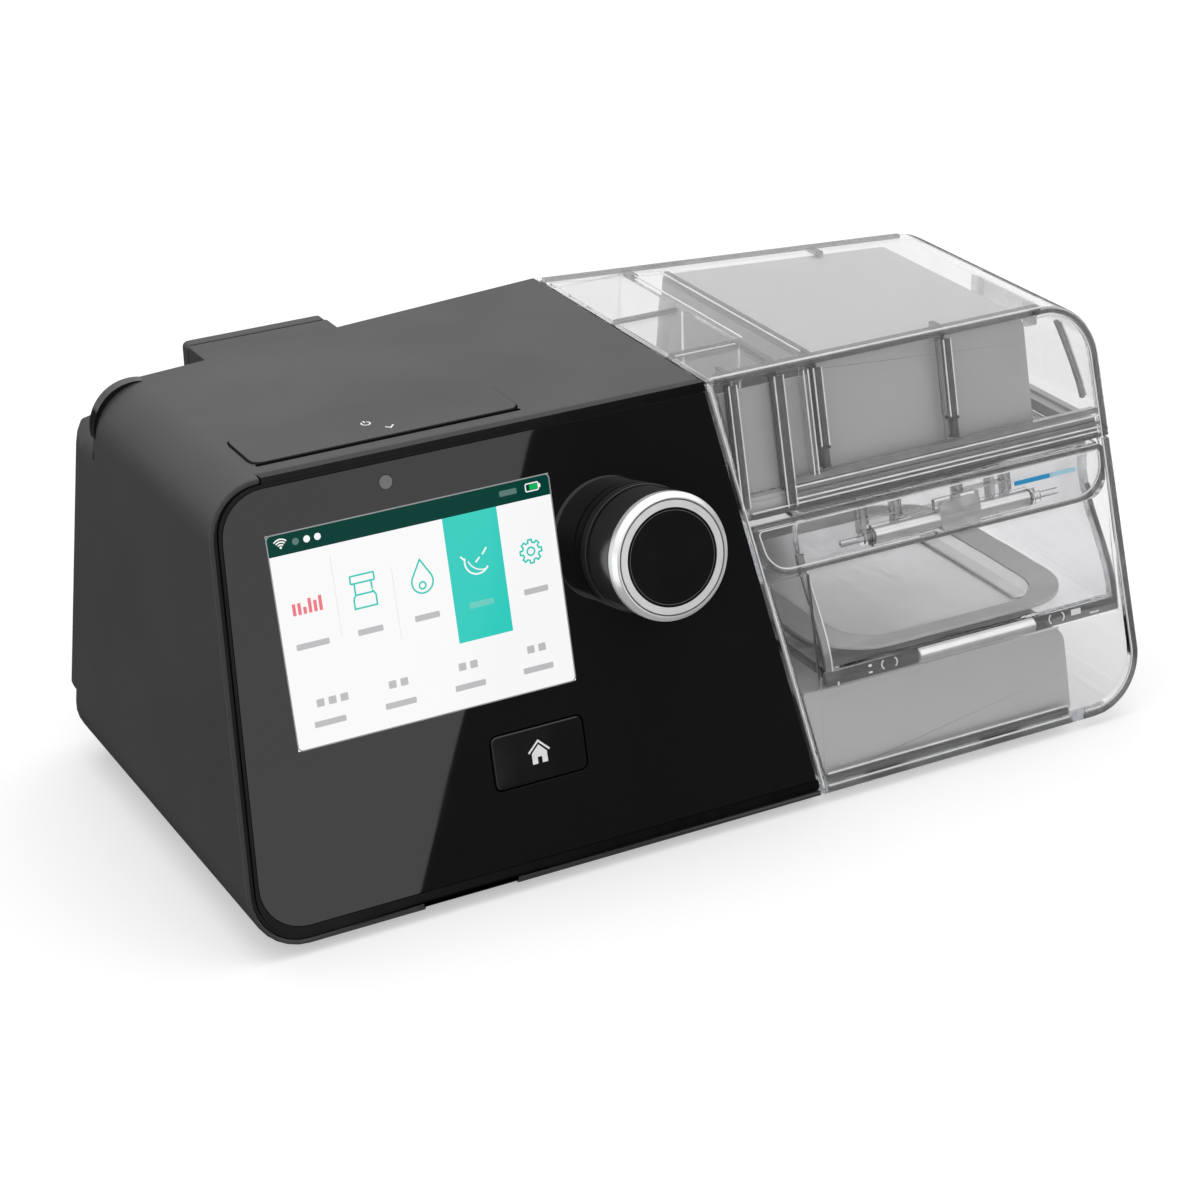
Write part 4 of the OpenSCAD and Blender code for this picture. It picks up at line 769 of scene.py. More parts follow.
# %% Status bar
status = bar(SCREEN_MID, SCREEN_TOP - STATUS_H / 2, SCREEN_WIDE, STATUS_H)
on_screen("screen_status_bar", [status], dark_teal, FIELD_TOP)
TOP_ROW = SCREEN_TOP - 2.57
DOT_R = 0.85
wifi = Vector((SCREEN_LEFT + 3.4, TOP_ROW - 0.95))
signs = [circle(wifi.x, wifi.y + 0.25, 0.32, 16)]
signs += [stroke(circle(wifi.x, wifi.y, r, 12, 45, 90), 0.34) for r in (0.95, 1.6, 2.25)]
signs += [circle(SCREEN_LEFT + x, TOP_ROW, DOT_R) for x in (10.1, 12.87)]
battery = Vector((SCREEN_RIGHT - 4.84, TOP_ROW + 0.15))
signs.append(stroke(bar(battery.x, battery.y, 3.5, 1.9, 0.35), 0.3, closed=True))
signs.append(bar(battery.x + 2.05, battery.y, 0.5, 0.9))
on_screen("screen_status_signs", signs, white)
on_screen("screen_charge", [bar(battery.x + 0.4, battery.y, 2.2, 1.3)], green, 0.03)
on_screen("screen_status_dim", [circle(SCREEN_LEFT + 7.24, TOP_ROW, DOT_R),
                                bar(SCREEN_RIGHT - 11.4, TOP_ROW + 0.12, 4.7, 1.4, 0.3)], dim)
print(f"{len(signs)} shapes in the status bar")

# %% [markdown]
# The five menu signs are drawn with one thin line, as on the real display: a bar chart, a jar, a drop,
# a moon on a bright tile, and a gear. Each is built from arcs and straight strokes round the middle of
# its column, so a sign moves with its column.

# %% Chart and bright tile
COLUMNS = [SCREEN_LEFT + x for x in (7.7, 22.7, 37.7, 52.3, 67.2)]
SIGN_V, LABEL_V = SCREEN_TOP - 18.1, SCREEN_TOP - 27.9
LINE = 0.42

TILE_WIDE, TILE_TOP, TILE_FOOT = 14.6, SCREEN_TOP - STATUS_H, SCREEN_TOP - 36.5
tile = bar(COLUMNS[3], (TILE_TOP + TILE_FOOT) / 2, TILE_WIDE, TILE_TOP - TILE_FOOT)
on_screen("screen_tile", [tile], turquoise, FIELD_TOP)

CHART, CHART_STEP = (2.9, 2.9, 1.7, 3.6, 2.8, 3.7), 1.36
chart_foot = SIGN_V - 2.1
on_screen("screen_chart", [bar(COLUMNS[0] - 3.4 + CHART_STEP * i, chart_foot + tall / 2, 0.85, tall, 0.15)
                           for i, tall in enumerate(CHART)], pink)
print(f"{len(COLUMNS)} columns, tile {TILE_TOP - TILE_FOOT:.1f} mm tall")

# %% Jar, drop and gear
x, v = COLUMNS[1], SIGN_V
jar = [stroke(bar(x - 0.3, v + 3.2, 6.2, 1.9, 0.2), LINE, closed=True),
       stroke([(x - 2.5, v + 2.2), (x - 2.5, v - 0.6), (x + 2.0, v - 0.6)], LINE),
       stroke([(x + 1.9, v + 2.2), (x + 1.9, v + 0.1)], LINE),
       stroke([(x - 2.5, v - 0.6), (x - 3.1, v - 1.6), (x - 3.1, v - 3.9), (x + 2.7, v - 3.9),
               (x + 2.7, v - 1.4), (x + 1.9, v - 0.1)], LINE)]

x = COLUMNS[2]
DROP_R = 2.8
drop = [Vector((x, v + 4.4))] + circle(x, v - 1.1, DROP_R, 28, 150, 240)
swirl = circle(x - 0.1, v - 2.0, 0.85, 20)

x = COLUMNS[4]
TEETH, GEAR_IN, GEAR_OUT, GEAR_HOLE = 8, 2.25, 2.95, 1.0
TOOTH = ((-0.32, GEAR_IN), (-0.2, GEAR_OUT), (0.2, GEAR_OUT), (0.32, GEAR_IN))
turns = [(math.tau * (i + share) / TEETH, radius) for i in range(TEETH) for share, radius in TOOTH]
gear = [(x + radius * math.sin(turn), v + radius * math.cos(turn)) for turn, radius in turns]
signs = jar + [stroke(drop, LINE, closed=True), stroke(swirl, LINE, closed=True),
               stroke(gear[::-1], LINE, closed=True), stroke(circle(x, v, GEAR_HOLE), LINE, closed=True)]
on_screen("screen_menu_signs", signs, teal)
print(f"{len(signs)} lines in the menu signs")

# %% Moon on the bright tile
x = COLUMNS[3]
moon = [stroke(circle(x + 0.3, v + 0.9, 3.3, 20, 160, 165), LINE),
        stroke(circle(x + 1.9, v + 2.6, 4.2, 14, 200, 75), 0.3),
        stroke([(x - 3.9, v + 2.7), (x - 3.0, v + 1.7)], LINE),
        stroke([(x - 0.1, v + 0.5), (x + 1.1, v + 1.6)], LINE),
        stroke([(x + 1.9, v + 2.1), (x + 3.2, v + 3.6)], LINE)]
on_screen("screen_moon", moon, white)
print(f"{len(moon)} strokes in the moon sign")

# %% Labels, values and dividers
LABEL_WIDE, LABEL_TALL = 6.6, 1.5
VALUE_V, UNIT_V = SCREEN_TOP - 42.3, SCREEN_TOP - 47.4
# From the screen's left: the middle of each unit, and the middles of its figures
VALUES = ((9.1, (7.3, 10.4, 13.5)), (27.7, (26.2, 29.3)), (46.4, (44.9, 48.0)), (65.0, (63.6, 66.7)))

labels = [bar(x, LABEL_V, 8.5 if x == COLUMNS[0] else LABEL_WIDE, LABEL_TALL, 0.3)
          for x in COLUMNS if x != COLUMNS[3]]
for unit_x, value_xs in VALUES:
    labels += [bar(SCREEN_LEFT + x, VALUE_V, 2.0, 1.9, 0.2) for x in value_xs]
    labels.append(bar(SCREEN_LEFT + unit_x, UNIT_V, 8.2, LABEL_TALL, 0.3))
on_screen("screen_labels", labels, grey)
on_screen("screen_tile_label", [bar(COLUMNS[3], LABEL_V, LABEL_WIDE, LABEL_TALL, 0.3)],
          shining("screen_tile_label", (0.16, 0.66, 0.57)))
dividers = [bar(SCREEN_LEFT + 15.2, SCREEN_TOP - 17.6, 0.14, 19.7),
            bar(SCREEN_LEFT + 30.2, SCREEN_TOP - 22.9, 0.14, 18)]
on_screen("screen_dividers", dividers, faint)
window = bar(SCREEN_MID, SCREEN_TOP - SCREEN_TALL / 2, SCREEN_WIDE, SCREEN_TALL, 1.2)
edge_grey = moulded("window_edge", (0.35, 0.36, 0.36), 0.3, 0.05, 8, depth=0.0)
plates("screen_edge", [stroke(window, 0.3, closed=True)], -0.2, 0.05, edge_grey)
print(f"{len(labels)} bars for words and figures")

# %% [markdown]
# ## Printed signs
# The start button is flush with the black top. In front of it a flat black strip, laid on the shell, is
# painted shade of its narrow finger gap. Its two signs and the house on the home button are printed in
# white ink. A print is a few hundredths of a millimetre thick, and the signs ride on their buttons, so
# they go down with them.

# %% Painted shade of the start button's finger gap, and its signs
START_X, START_W, START_FRONT = 22.0, 71.0, 33.3
POWER, FAN = Vector((55.6, 43.1)), Vector((59.8, 38.2))


def on_shell(x, y, h):
    """A point on the flat top of the black shell, h mm above it."""
    return place(x, y, face_height("main_shell") * panel_up.z + h)


# Painted shade: a flat black strip on the shell where the finger gap is.
gap = bar(START_X + START_W / 2, START_FRONT - 0.45, START_W - 1.2, 1.3, 0.4)
plates("start_gap_shade", [gap], -0.3, 0.02, gap_shade_black, at=on_shell)
start_signs = [stroke(circle(POWER.x, POWER.y, 1.1, 16, 125, 290), 0.4),
               bar(POWER.x, POWER.y + 1.1, 0.4, 1.2),
               stroke([(FAN.x - 1.0, FAN.y + 0.5), (FAN.x, FAN.y - 0.6), (FAN.x + 1.3, FAN.y + 0.9)], 0.45)]
print_white = moulded("print_white", (0.85, 0.85, 0.85), 0.5, 0.04, 1.5, 0.2, 0.002)
plates("start_signs", start_signs, 0.2, 0.356, print_white, "start_button", on_shell)
print(f"finger gap {START_W - 1.2:.1f} mm long")

# %% Home sign
home_low, home_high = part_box("home_button")
home_x = (home_low.x + home_high.x) / 2 / MM + HALF_WIDTH
home_v = face_height("home_button") - 7.4
eaves = stroke([(home_x - 2.9, home_v + 0.15), (home_x, home_v + 2.9), (home_x + 2.9, home_v + 0.15)], 0.5)
HOUSE = ((-2.1, -2.9), (-0.6, -2.9), (-0.6, -1.2), (0.6, -1.2), (0.6, -2.9), (2.1, -2.9), (2.1, -0.15),
         (0, 1.95), (-2.1, -0.15))
house = [Vector((home_x + x, home_v + y)) for x, y in HOUSE]
plates("home_sign", [eaves, house], -0.2, 0.04, print_white, body="home_button")
print(f"home sign {home_x:.1f} mm from the left, {home_v:.1f} mm up the panel")

# %% [markdown]
# ## The dial's face
# The ring of the dial is turned from one piece, and a fine groove parts its bevel from its flat face.
# The groove is a thin dark ring of painted shade, with no recess cut. The gloss black cap reaches a
# little way over the flat face; that outer band of the black disc is painted shade of the recess round
# the cap. The cap has a fine line inside its own edge. Groove, cap face and fine line are thin rings
# round the dial's axis, and they turn with the dial.

# %% Groove shade, cap face with recess shade, and fine line
GROOVE_R, FACE_R, ROUND = 14.4, 12.4, 96
DIAL_X = dial_middle.x / MM + HALF_WIDTH
DIAL_V = (dial_middle - on_panel(DIAL_X, 0)).dot(panel_up) / MM
DIAL_TALL = max((point.co - panel_point).dot(panel_out) for point in NODES["knob_ring"].data.vertices) / MM


def on_dial(x, v, n):
    """A point on the dial's flat ring, measured from the dial's middle."""
    return on_panel(DIAL_X + x, DIAL_V + v, DIAL_TALL + n)


# Painted shade: a dark ring where the groove is.
groove = stroke(circle(0, 0, GROOVE_R, ROUND), 0.4, closed=True)
plates("dial_groove_shade", [groove], -0.2, 0.01, dark_metal, "dial", on_dial)
# The cap's black disc; its outer band is painted shade of the recess round the cap.
face = circle(0, 0, FACE_R, ROUND)
plates("dial_face_and_recess_shade", [face], -0.45, 0.012, FINISHES["knob_black"], "dial", on_dial)
fine_line = stroke(circle(0, 0, FACE_R - 0.7, ROUND), 0.16, closed=True)
plates("dial_cap_edge", [fine_line], -0.2, 0.02, dark_metal, "dial", on_dial)
print(f"dial stands {DIAL_TALL:.2f} mm out, {DIAL_V:.1f} mm up the panel")

# %% [markdown]
# ## Small mouldings of the clear side
# Clear plastic shows itself by its edges. Where the eye looks along a rib or a rim, the light has
# travelled far inside it and arrives grey, with a white line beside it where the rounded edge mirrors
# the room. These ribs, rims and clips are separate pieces here, in a grey of painted shade that stands
# for that long way through the plastic. The white lines are painted highlights: thin white plates laid
# beside them. Each piece rides on the part it is moulded on.

# %% Painted edge shade and painted highlights
def see_through(name, colour, alpha, roughness=0.12):
    """A tinted gloss that lets part of what is behind it show."""
    inputs = {"Base Color": lambda tree: wandering(tree, colour, 0.12, 5),
              "Roughness": lambda tree: mottle(tree, 4, roughness, roughness * 1.6)}
    return surface(name, inputs, Alpha=alpha, Coat_Weight=1.0, Coat_Roughness=0.04)


# Painted shade: the grey of a long way through the edge of clear plastic.
edge_shade = see_through("painted_edge_shade", (0.16, 0.16, 0.162), 0.67)
# Painted shade for the cut ends of clear walls, seen edge-on.
wall_end_shade = see_through("wall_end_shade", (0.3, 0.3, 0.303), 0.7)
pale_edge = see_through("pale_edge", (0.5, 0.5, 0.5), 0.45)
# Painted highlight: the white line where a rounded clear edge mirrors the room.
painted_highlight = see_through("painted_highlight", (0.9, 0.9, 0.9), 0.85, 0.1)
print("trim finishes:", ", ".join(m.name for m in (edge_shade, wall_end_shade, pale_edge, painted_highlight)))

# %% Shape of the clear side
COVER_TOP = (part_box("top_cover")[1].z - underside) / MM
PANEL_TALL = COVER_TOP / panel_up.z
EDGE_Y = COVER_TOP * math.tan(math.radians(lean))  # where the flat top begins, behind the front edge
WALL = 2.2
SEAM_TOP, SEAM_LEAN, RIGHT_DRAFT = 139.9, 10.35, 6.0
REAR_Y, REAR_SLANT = 118.0, 10.6


def on_top(x, y, h):
    """A point on the flat top of the clear cover, h mm above it."""
    return place(x, y, COVER_TOP + h)


def seam_at(v):
    """Where the clear side begins beside the front panel, v mm up the panel."""
    return SEAM_TOP + (COVER_TOP - v * panel_up.z) * math.tan(math.radians(SEAM_LEAN)) + 0.6


def right_at(v):
    """The right side at the front panel, v mm up the panel."""
    return 2 * HALF_WIDTH - RIGHT_DRAFT * v * panel_up.z / COVER_TOP


def rear_at(x):
    """The rear edge of the clear top, which runs forward to the right."""
    return REAR_Y - (x - SEAM_TOP) * math.tan(math.radians(REAR_SLANT))


def trim(name, shapes, low, high, material, body="cover", at=on_panel):
    """One trim piece of the clear side."""
    return plates(name, shapes, low, high, material, body, at)


print(f"flat top at {COVER_TOP:.1f} mm, panel {PANEL_TALL:.1f} mm tall")

# %% Ribs behind the cover's front
# Middle, foot and width of each rib. The narrow one shows only its two painted highlight lines.
RIBS = ((148.05, 79.5, 1.5), (161.55, 77.0, 1.9), (169.55, 84.0, 0.6), (173.05, 91.0, 1.6),
        (212.65, 91.0, 1.5))
WIDE_RIBS = [rib for rib in RIBS if rib[2] > 1]
FOOT_RIBS = (173.05, 212.65)
RIB_TOP = PANEL_TALL - 2.6

# The ribs are in painted edge shade.
ribs = [bar(x, (foot + RIB_TOP) / 2, wide, RIB_TOP - foot, 0.25) for x, foot, wide in WIDE_RIBS]
trim("cover_ribs", ribs, -4.1, 0.02, edge_shade)
# Painted highlights: a white line beside each side of every rib.
lines = [bar(x + side * (wide / 2 + 0.35), (foot + RIB_TOP) / 2, 0.35, RIB_TOP - foot)
         for x, foot, wide in RIBS for side in (-1, 1)]
trim("cover_rib_highlights", lines, -0.4, 0.02, painted_highlight)
feet = [bar(x, 88.0, 1.6, 4.4, 0.3) for x in FOOT_RIBS]
feet += [bar(x + side, 90.6, 0.7, 0.9, 0.2) for x in FOOT_RIBS for side in (-1, 1)]
feet += [bar(x, 85.6, 1.9, 0.7, 0.2) for x in FOOT_RIBS]
trim("cover_rib_feet", feet, -3.4, 0.02, edge_shade)
hooks = [bar(x, EDGE_Y + 4.6, 1.5, 5.0, 0.3) for x, foot, wide in WIDE_RIBS]
trim("cover_hooks", hooks, -WALL - 1.4, 0.05, edge_shade, at=on_top)
print(f"{len(ribs)} ribs with {len(lines)} bright lines")

# %% Rails and cell walls under the flat top
RAIL_END = 244
rail = bar((SEAM_TOP + RAIL_END) / 2 + 2, EDGE_Y + 2.6, RAIL_END - SEAM_TOP - 5, 2.0, 0.3)
trim("cover_front_rail", [rail], -WALL, 0.03, edge_shade, at=on_top)
# Painted highlight: a white line just behind the cover's front edge.
rail_highlight = bar((SEAM_TOP + RAIL_END) / 2 + 1, EDGE_Y + 1.1, RAIL_END - SEAM_TOP - 3, 0.5)
trim("cover_front_highlight", [rail_highlight], -0.5, 0.03, painted_highlight, at=on_top)

CELL_RIGHT = 161.2
cell_x, cell_wide = (SEAM_TOP + CELL_RIGHT) / 2 + 1.2, CELL_RIGHT - SEAM_TOP
cell_walls = [area(CELL_RIGHT, EDGE_Y + 5, CELL_RIGHT + 2, 47.5), bar(cell_x, 46.6, cell_wide - 2.4, 1.9),
              bar(cell_x, 76.4, cell_wide - 2.4, 1.3), area(172.6, EDGE_Y + 5, 173.9, rear_at(174) - 8)]
trim("cover_cell_rims", cell_walls, -WALL, 0.02, edge_shade, at=on_top)
# Painted highlights: white lines beside the cell walls.
cell_highlights = [area(164.2, 48, 164.7, rear_at(165) - 7), area(171.6, EDGE_Y + 6, 172.1, rear_at(172) - 8),
               bar(cell_x, 44.9, cell_wide - 3.4, 0.4)]
trim("cover_cell_highlights", cell_highlights, -0.5, 0.02, painted_highlight, at=on_top)
print(f"front rail {RAIL_END - SEAM_TOP - 5:.1f} mm long, {len(cell_walls)} cell walls")

# %% Rail and tabs along the slanted rear edge
def along_rear(x0, x1, back, wide):
    """A strip beside the rear edge of the clear top, back mm in front of it."""
    return [Vector((x0, rear_at(x0) - back)), Vector((x1, rear_at(x1) - back)),
            Vector((x1, rear_at(x1) - back + wide)), Vector((x0, rear_at(x0) - back + wide))]


trim("cover_rear_rail", [along_rear(SEAM_TOP + 2, 245, 2.2, 1.6)], -WALL, 0.02, edge_shade, at=on_top)
tabs = [along_rear(x, x + 2.2, 8.2, 4.8) for x in (163.2, 216.6)]
trim("cover_rear_tabs", tabs, -WALL, 0.03, edge_shade, at=on_top)
print(f"rear edge runs from {rear_at(SEAM_TOP):.1f} to {rear_at(245):.1f} mm behind the front edge")

# %% [markdown]
# The cover's right wall leans inward, and inside it runs a rail with two clips that hold the cover's
# frame. The corner of the front is drawn by a curved rib, which is seen through the wall, with a white
# line of painted highlight beside it. Along its lower edge the cover has three rims one below another,
# with thin painted highlight lines between them.

# %% Clips and rib inside the cover's right wall
clip = [bar(249.3, 50.0, 1.6, 25.0), bar(248.2, 62.0, 3.6, 1.8, 0.3), bar(248.2, 38.0, 3.6, 1.8, 0.3)]
trim("cover_clip_rail", clip, -9.5, -3.2, pale_edge, at=on_top)
side_rib = [(248.8, 109.6), (250.6, 104.5), (252.6, 98.0), (254.2, 92.0), (255.0, 87.5)]
trim("cover_side_rib", [stroke(side_rib, 0.9)], -3.6, -WALL - 0.05, edge_shade)
# Painted highlight: a white line beside the curved rib.
side_highlight = [(250.0, 109.2), (251.7, 104.5), (253.6, 98.0), (255.2, 92.0), (256.0, 88.0)]
trim("cover_side_highlight", [stroke(side_highlight, 0.4)], -3.0, -WALL - 0.05, painted_highlight)
print(f"clip rail of {len(clip)} parts, side rib from {side_rib[-1][1]} to {side_rib[0][1]} mm up")

# %% Rims at the cover's lower edge
RIM_LEFT = 162.2


def rim(v, wide, left=None):
    """A bar across the clear front at height v up the panel, from wall to wall or from the left given."""
    x0 = seam_at(v) + WALL + 0.3 if left is None else left
    x1 = right_at(v) - WALL - 0.4
    return bar((x0 + x1) / 2, v, x1 - x0, wide, wide / 3)


# The rims are in painted edge shade, and the white lines between them are painted highlights.
trim("cover_rims", [rim(83.7, 1.5, RIM_LEFT), rim(80.3, 0.7, RIM_LEFT)], -3.4, 0.02, wall_end_shade)
rim_highlights = [rim(82.3, 0.45, RIM_LEFT + 0.4), rim(79.2, 0.45, RIM_LEFT + 0.4), rim(78.0, 0.4)]
trim("cover_rim_highlights", rim_highlights, -0.5, 0.02, painted_highlight)
trim("cover_lower_rim", [rim(76.9, 1.2)], -1.9, 0.03, edge_shade)
print(f"rims end {right_at(83.7) - WALL - 0.4:.1f} mm from the left")

# %% [markdown]
# ## The tank's front
# The tank shows a clear band with a rolled rim, two barrels of its latch, a few pocket walls behind it
# and a blue mark for the highest water level. Below, the scoop's side walls are seen edge-on, and a
# thick bar with a half-round grip runs along the foot.

# %% Rim of the band
BAND_TOP, BAND_FOOT = face_height("tank_band"), 60.0
band_left, band_top_left = seam_at(BAND_FOOT) + 1.2, seam_at(BAND_TOP) + 2.0


def round_corners(corners, radii, count=8):
    """A closed outline with a round corner of its own radius at every point."""
    outline = []
    for i, corner in enumerate(corners):
        a = (corners[i - 1] - corner).normalized()
        b = (corners[(i + 1) % len(corners)] - corner).normalized()
        half = math.acos(max(-1, min(1, a.dot(b)))) / 2
        centre = corner + (a + b).normalized() * radii[i] / math.sin(half)
        start = corner + a * radii[i] / math.tan(half) - centre
        stop = corner + b * radii[i] / math.tan(half) - centre
        turn = math.atan2(start.x * stop.y - start.y * stop.x, start.dot(stop))
        first = math.atan2(start.y, start.x)
        for k in range(count + 1):
            angle = first + turn * k / count
            outline.append(centre + Vector((math.cos(angle), math.sin(angle))) * radii[i])
    return outline


band = [(band_left + 0.6, BAND_FOOT + 0.6), (band_top_left, BAND_TOP - 0.5), (258.0, BAND_TOP - 0.5),
        (258.4, BAND_FOOT + 0.6)]
band = round_corners([Vector(p) for p in band], (8.6, 1, 1, 8.5))
# The band's rim is in painted edge shade.
trim("tank_band_rim", [stroke(band, 0.85, closed=True)], -WALL + 0.1, 0.05, edge_shade, "tank")
inner = [(band_left + 1.8, BAND_FOOT + 1.7), (band_top_left + 0.9, BAND_TOP - 1.5), (257.0, BAND_TOP - 1.5),
         (257.3, BAND_FOOT + 1.7)]
inner = round_corners([Vector(p) for p in inner], (8, 1, 1, 8))
# The white line inside the band's rim is a painted highlight; it is open under the latch.
LATCH_ROOM = (198.0, 224.0)  # the bright line is open here, under the latch
ends = [Vector((x, BAND_FOOT + 1.7)) for x in LATCH_ROOM]
trim("tank_band_highlight", [stroke([ends[0]] + inner + [ends[1]], 0.35)], -0.6, 0.06, painted_highlight, "tank")
print(f"band {BAND_TOP - BAND_FOOT:.1f} mm tall")

# %% Pockets and level mark
pockets = [bar(x, 69.3, 1.3, 8.4, 0.3) for x in (182.7, 193.2, 212.8, 223.4, 228.0)]
pockets += [bar(188.0, 69.0, 10.0, 0.6), bar(203.0, 68.0, 19.0, 0.6), bar(220.4, 70.3, 15.0, 0.6)]
trim("tank_pockets", pockets, -5.6, -WALL - 0.1, pale_edge, "tank")
LEVEL_V, LEVEL_TALL = 69.3, 1.2
blue = moulded("level_blue", (0.012, 0.29, 0.57), 0.35, 0.05, 2, depth=0.0)
pale_blue = moulded("level_pale_blue", (0.38, 0.62, 0.74), 0.35, 0.05, 2, depth=0.0)
trim("level_mark", [bar(234.9, LEVEL_V, 11.4, LEVEL_TALL, 0.2)], -0.3, 0.04, blue, "tank")
trim("level_mark_pale", [bar(245.0, LEVEL_V, 7.9, LEVEL_TALL, 0.2)], -0.3, 0.04, pale_blue, "tank")
print(f"{len(pockets)} pocket walls, level mark {LEVEL_V} mm up the panel")

# %% Ends of the latch
LATCH_V, LATCH_R, AROUND = 64.6, 2.3, 32
latch_left, latch_right = (side.x / MM + HALF_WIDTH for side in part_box("latch_lever"))


def barrel(name, x0, x1, material):
    """A short rod along the latch's pin."""
    bm = bmesh.new()
    turns = [math.tau * k / AROUND for k in range(AROUND)]
    ends = [[bm.verts.new(on_panel(x, LATCH_V + LATCH_R * math.sin(a), -WALL / 2 + LATCH_R * math.cos(a)))
             for a in turns] for x in (x0, x1)]
    for k in range(AROUND):
        bm.faces.new((ends[0][k - 1], ends[0][k], ends[1][k], ends[1][k - 1]))
    for end in ends:
        bm.faces.new(end)
    soften(finish_piece(bm, name, "tank", material), 0.25)


# The barrels' ends are in painted edge shade.
barrel("latch_end_left", latch_left - 1.0, latch_left - 0.25, edge_shade)
barrel("latch_end_right", latch_right + 0.25, latch_right + 1.0, edge_shade)
print(f"latch {latch_right - latch_left:.1f} mm wide")

# %% [markdown]
# Under the band the tank's front is hollowed like a scoop, so that fingers reach under the bar. The two
# side walls are cut off by that hollow along an S-curve. A strip of quads follows the curve and covers
# each wall's edge with painted shade, because that cut edge is what the eye sees as a dark line. A thin
# white strip beside the left edge is a painted highlight.

# %% Edges of the scoop
tub_low, tub_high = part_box("tank_tub")
TANK_LEFT, TANK_RIGHT = (side.x / MM + HALF_WIDTH for side in (tub_low, tub_high))
TANK_Z = (tub_low.z - underside) / MM
SCOOP_DEEP, SCOOP_TALL, SCOOP_TOP = 16.6, 36, 57
EDGE_DEEP, EDGE_STEPS = 0.9, 24


def scoop_y(z):
    """Depth of the tank's hollowed front at height z, an S-curve from the foot to the band."""
    share = min(max((z - TANK_Z - 0.7) / SCOOP_TALL, 0), 1)
    return TANK_Z * math.tan(math.radians(lean)) + 0.2 + SCOOP_DEEP * share * share * (3 - 2 * share)


def scoop_edge(name, x0, x1, material):
    """A strip that covers the edge of one side wall of the scoop."""
    bm = bmesh.new()
    rows = []
    for i in range(EDGE_STEPS + 1):
        z = TANK_Z + 2 + (SCOOP_TOP - TANK_Z) * i / EDGE_STEPS
        y = scoop_y(z) - 0.06
        corners = ((x0, y), (x1, y), (x1, y + EDGE_DEEP), (x0, y + EDGE_DEEP))
        rows.append([bm.verts.new(place(*corner, z)) for corner in corners])
    for low, high in zip(rows, rows[1:]):
        for k in range(4):
            bm.faces.new((low[k], low[(k + 1) % 4], high[(k + 1) % 4], high[k]))
    bm.faces.new(rows[0])
    bm.faces.new(rows[-1])
    return finish_piece(bm, name, "tank", material)


# Painted shade on both cut edges, and a painted highlight beside the left one.
scoop_edge("tank_left_edge", TANK_LEFT + 0.4, TANK_LEFT + 2.1, wall_end_shade)
scoop_edge("tank_left_dark", TANK_LEFT - 0.05, TANK_LEFT + 0.37, edge_shade)
scoop_edge("tank_right_edge", TANK_RIGHT - 1.2, TANK_RIGHT + 0.05, edge_shade)
scoop_edge("tank_left_highlight", TANK_LEFT + 2.15, TANK_LEFT + 2.5, painted_highlight)
print(f"scoop {scoop_y(SCOOP_TOP) - scoop_y(TANK_Z):.1f} mm deep")

# %% Foot bar and the bright marks on it
BAR_V, BAR_TALL = 30.3, 3.8
GRIP_LEFT, GRIP_RIGHT = 193.5, 230.5
foot_bar = [bar((TANK_LEFT + GRIP_LEFT) / 2, BAR_V, GRIP_LEFT - TANK_LEFT, BAR_TALL, 0.6),
            bar((TANK_RIGHT + GRIP_RIGHT) / 2, BAR_V, TANK_RIGHT - GRIP_RIGHT, BAR_TALL, 0.6)]
trim("tank_foot_bar", foot_bar, -1.2, 0.42, edge_shade, "tank")
# Small bright arcs and spots, in the white of the painted highlights.
ARCS = ((183.5, 120), (185.6, -60), (237.0, 120), (239.2, -60))
marks = [stroke(circle(x, 30.4, 1.35, 10, start, 120), 0.35) for x, start in ARCS]
marks += [bar(178.6, 31.1, 1.0, 0.7, 0.2), bar(178.6, 29.3, 1.2, 0.5, 0.2), bar(168.6, 28.7, 0.5, 1.0, 0.2),
          bar(244.5, 30.7, 3.2, 1.6, 0.2), bar(250.5, 29.3, 3.0, 0.4, 0.1)]
trim("tank_foot_bright_marks", marks, 0.3, 0.5, painted_highlight, "tank")
print(f"{len(marks)} cast marks in the foot bar")

# %% Half-round grip
GRIP_R, GRIP_END_R, GRIP_OUT = 2.05, 1.75, 0.15
bm = bmesh.new()
rows = []
for x, radius in ((GRIP_LEFT, GRIP_END_R), (GRIP_LEFT + 0.4, GRIP_R), (GRIP_RIGHT - 0.4, GRIP_R),
                  (GRIP_RIGHT, GRIP_END_R)):
    rows.append([bm.verts.new(on_panel(x, BAR_V + radius * math.sin(a), GRIP_OUT + radius * math.cos(a)))
                 for a in (math.radians(turn) for turn in range(-90, 91, 12))])
for low, high in zip(rows, rows[1:]):
    for k in range(len(low)):
        bm.faces.new((low[k - 1], low[k], high[k], high[k - 1]))
bm.faces.new(rows[0])
bm.faces.new(rows[-1])
grip_pale = moulded("grip_pale", (0.74, 0.74, 0.745), 0.2, 0.08, 6, 0.6, 0.0, Metallic=0.5, Coat_Weight=1.0)
soften(finish_piece(bm, "tank_grip", "tank", grip_pale), 0)
print(f"grip {GRIP_RIGHT - GRIP_LEFT:.0f} mm long")

# %% Bright inner border of the tank's floor
FLOOR_Z = (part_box("tank_base")[1].z - underside) / MM + 0.1


def on_tank_floor(x, y, h):
    """A point on the floor of the tank, h mm above its metal plate."""
    return place(x, y, FLOOR_Z + h)


lip_white = moulded("lip_white", (0.9, 0.9, 0.9), 0.25, 0.02, 12, depth=0.0, Coat_Weight=1.0)
lip = bar(233.9, 47.5, 4.4, 60.0, 1.8)
soften(plates("tank_floor_border", [lip], 0.0, 0.9, lip_white, "tank", on_tank_floor), 0.4)
print(f"tank floor at {FLOOR_Z:.1f} mm")

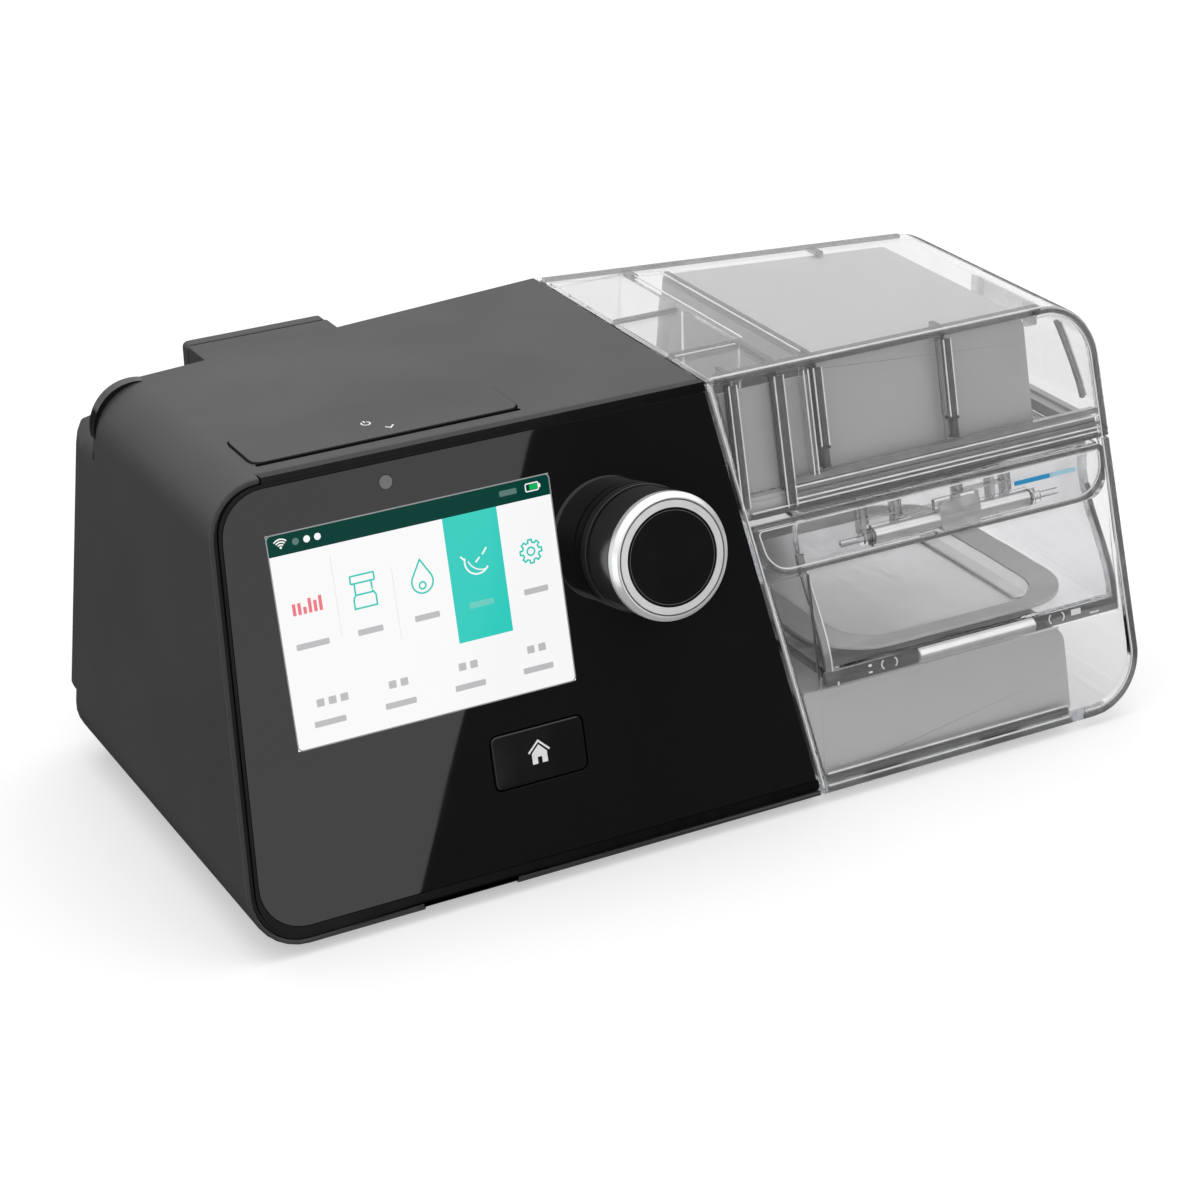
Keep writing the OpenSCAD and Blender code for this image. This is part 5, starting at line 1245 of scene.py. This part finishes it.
# %% [markdown]
# ## The outer edge of the clear side
# Seen from the front, one dark line of painted edge shade, with a painted highlight line inside it, runs
# down the right side and round both corners. It is cut where cover and chamber part, and each part of
# it rides on its own body, so the upper part opens with the cover.

# %% Rim round the outer corners of the front
OUTER_R, PARTING_V = 16, 73.8 / panel_up.z


def clear_edge(inset):
    """Points down the clear side's right edge on the panel, round both corners, inset in mm."""
    radius = OUTER_R - inset
    upper, lower = right_at(0) - RIGHT_DRAFT - OUTER_R, right_at(0) - OUTER_R
    points = [Vector((upper - 2, COVER_TOP - inset))]
    points += circle(upper + 0.7, COVER_TOP - OUTER_R, radius, 14, 90, -86)
    points += circle(lower - 0.6, OUTER_R, radius, 14, -3, -87)
    points.append(Vector((lower - 4, inset)))
    return [Vector((p.x, p.y / panel_up.z)) for p in points]


def cut_at(points, v, upper):
    """The part of a falling line above or below height v, with an end exactly there."""
    a, b = next((a, b) for a, b in zip(points, points[1:]) if a.y > v >= b.y)
    end = a + (b - a) * (v - a.y) / (b.y - a.y)
    if upper:
        return [p for p in points if p.y > v] + [end]
    return [end] + [p for p in points if p.y < v]


# Each part: a dark line of painted edge shade, and a painted highlight line inside it.
for part, body, v in (("cover", "cover", PARTING_V + 0.7), ("chamber", "root", PARTING_V - 0.1)):
    dark_line = stroke(cut_at(clear_edge(1.0), v, part == "cover"), 1.1)
    trim(part + "_outer_rim", [dark_line], -1.8, 0.03, edge_shade, body)
    highlight_line = stroke(cut_at(clear_edge(2.3), v, part == "cover"), 0.4)
    trim(part + "_outer_highlight", [highlight_line], -0.5, 0.03, painted_highlight, body)
print(f"cover and chamber part {PARTING_V:.1f} mm up the panel")

# %% Rims of the chamber, in painted edge shade, with painted highlights
def foot_strip(left, right, v, tall, radius=0.0):
    """A bar along the chamber's foot at height v, between the seam and the round corner."""
    return bar((left + right) / 2 + 1, v, right - left - 3, tall, radius)


SEAM_LOW, SEAM_HIGH = 2, PANEL_TALL - 3
seam_corners = ((SEAM_LOW, 0.45), (SEAM_LOW, 0.85), (SEAM_HIGH, 0.85), (SEAM_HIGH, 0.45))
# Painted highlight: a white line beside the seam.
seam_line = [Vector((seam_at(v) + beside_seam, v)) for v, beside_seam in seam_corners]
trim("seam_highlight", [seam_line], -0.8, 0.03, painted_highlight, "root")
# The foot rims are in painted edge shade; the white lines under them are painted highlights.
foot_rims = [foot_strip(seam_at(4), 240, 3.7, 1.9, 0.4), foot_strip(seam_at(1), 241, 0.9, 1.2, 0.3)]
trim("chamber_foot_rims", foot_rims, -WALL + 0.3, 0.04, edge_shade, "root")
foot_highlights = [foot_strip(seam_at(4), 240, v, 0.45) for v in (5.3, 2.1)]
trim("chamber_foot_highlights", foot_highlights, -0.8, 0.06, painted_highlight, "root")
print(f"{len(bpy.data.meshes) - len(NODES) - 1} pieces added")

# %% Write the sizes and finish
low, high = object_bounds()
print("dressed size in mm:", [round(v / MM, 1) for v in high - low])
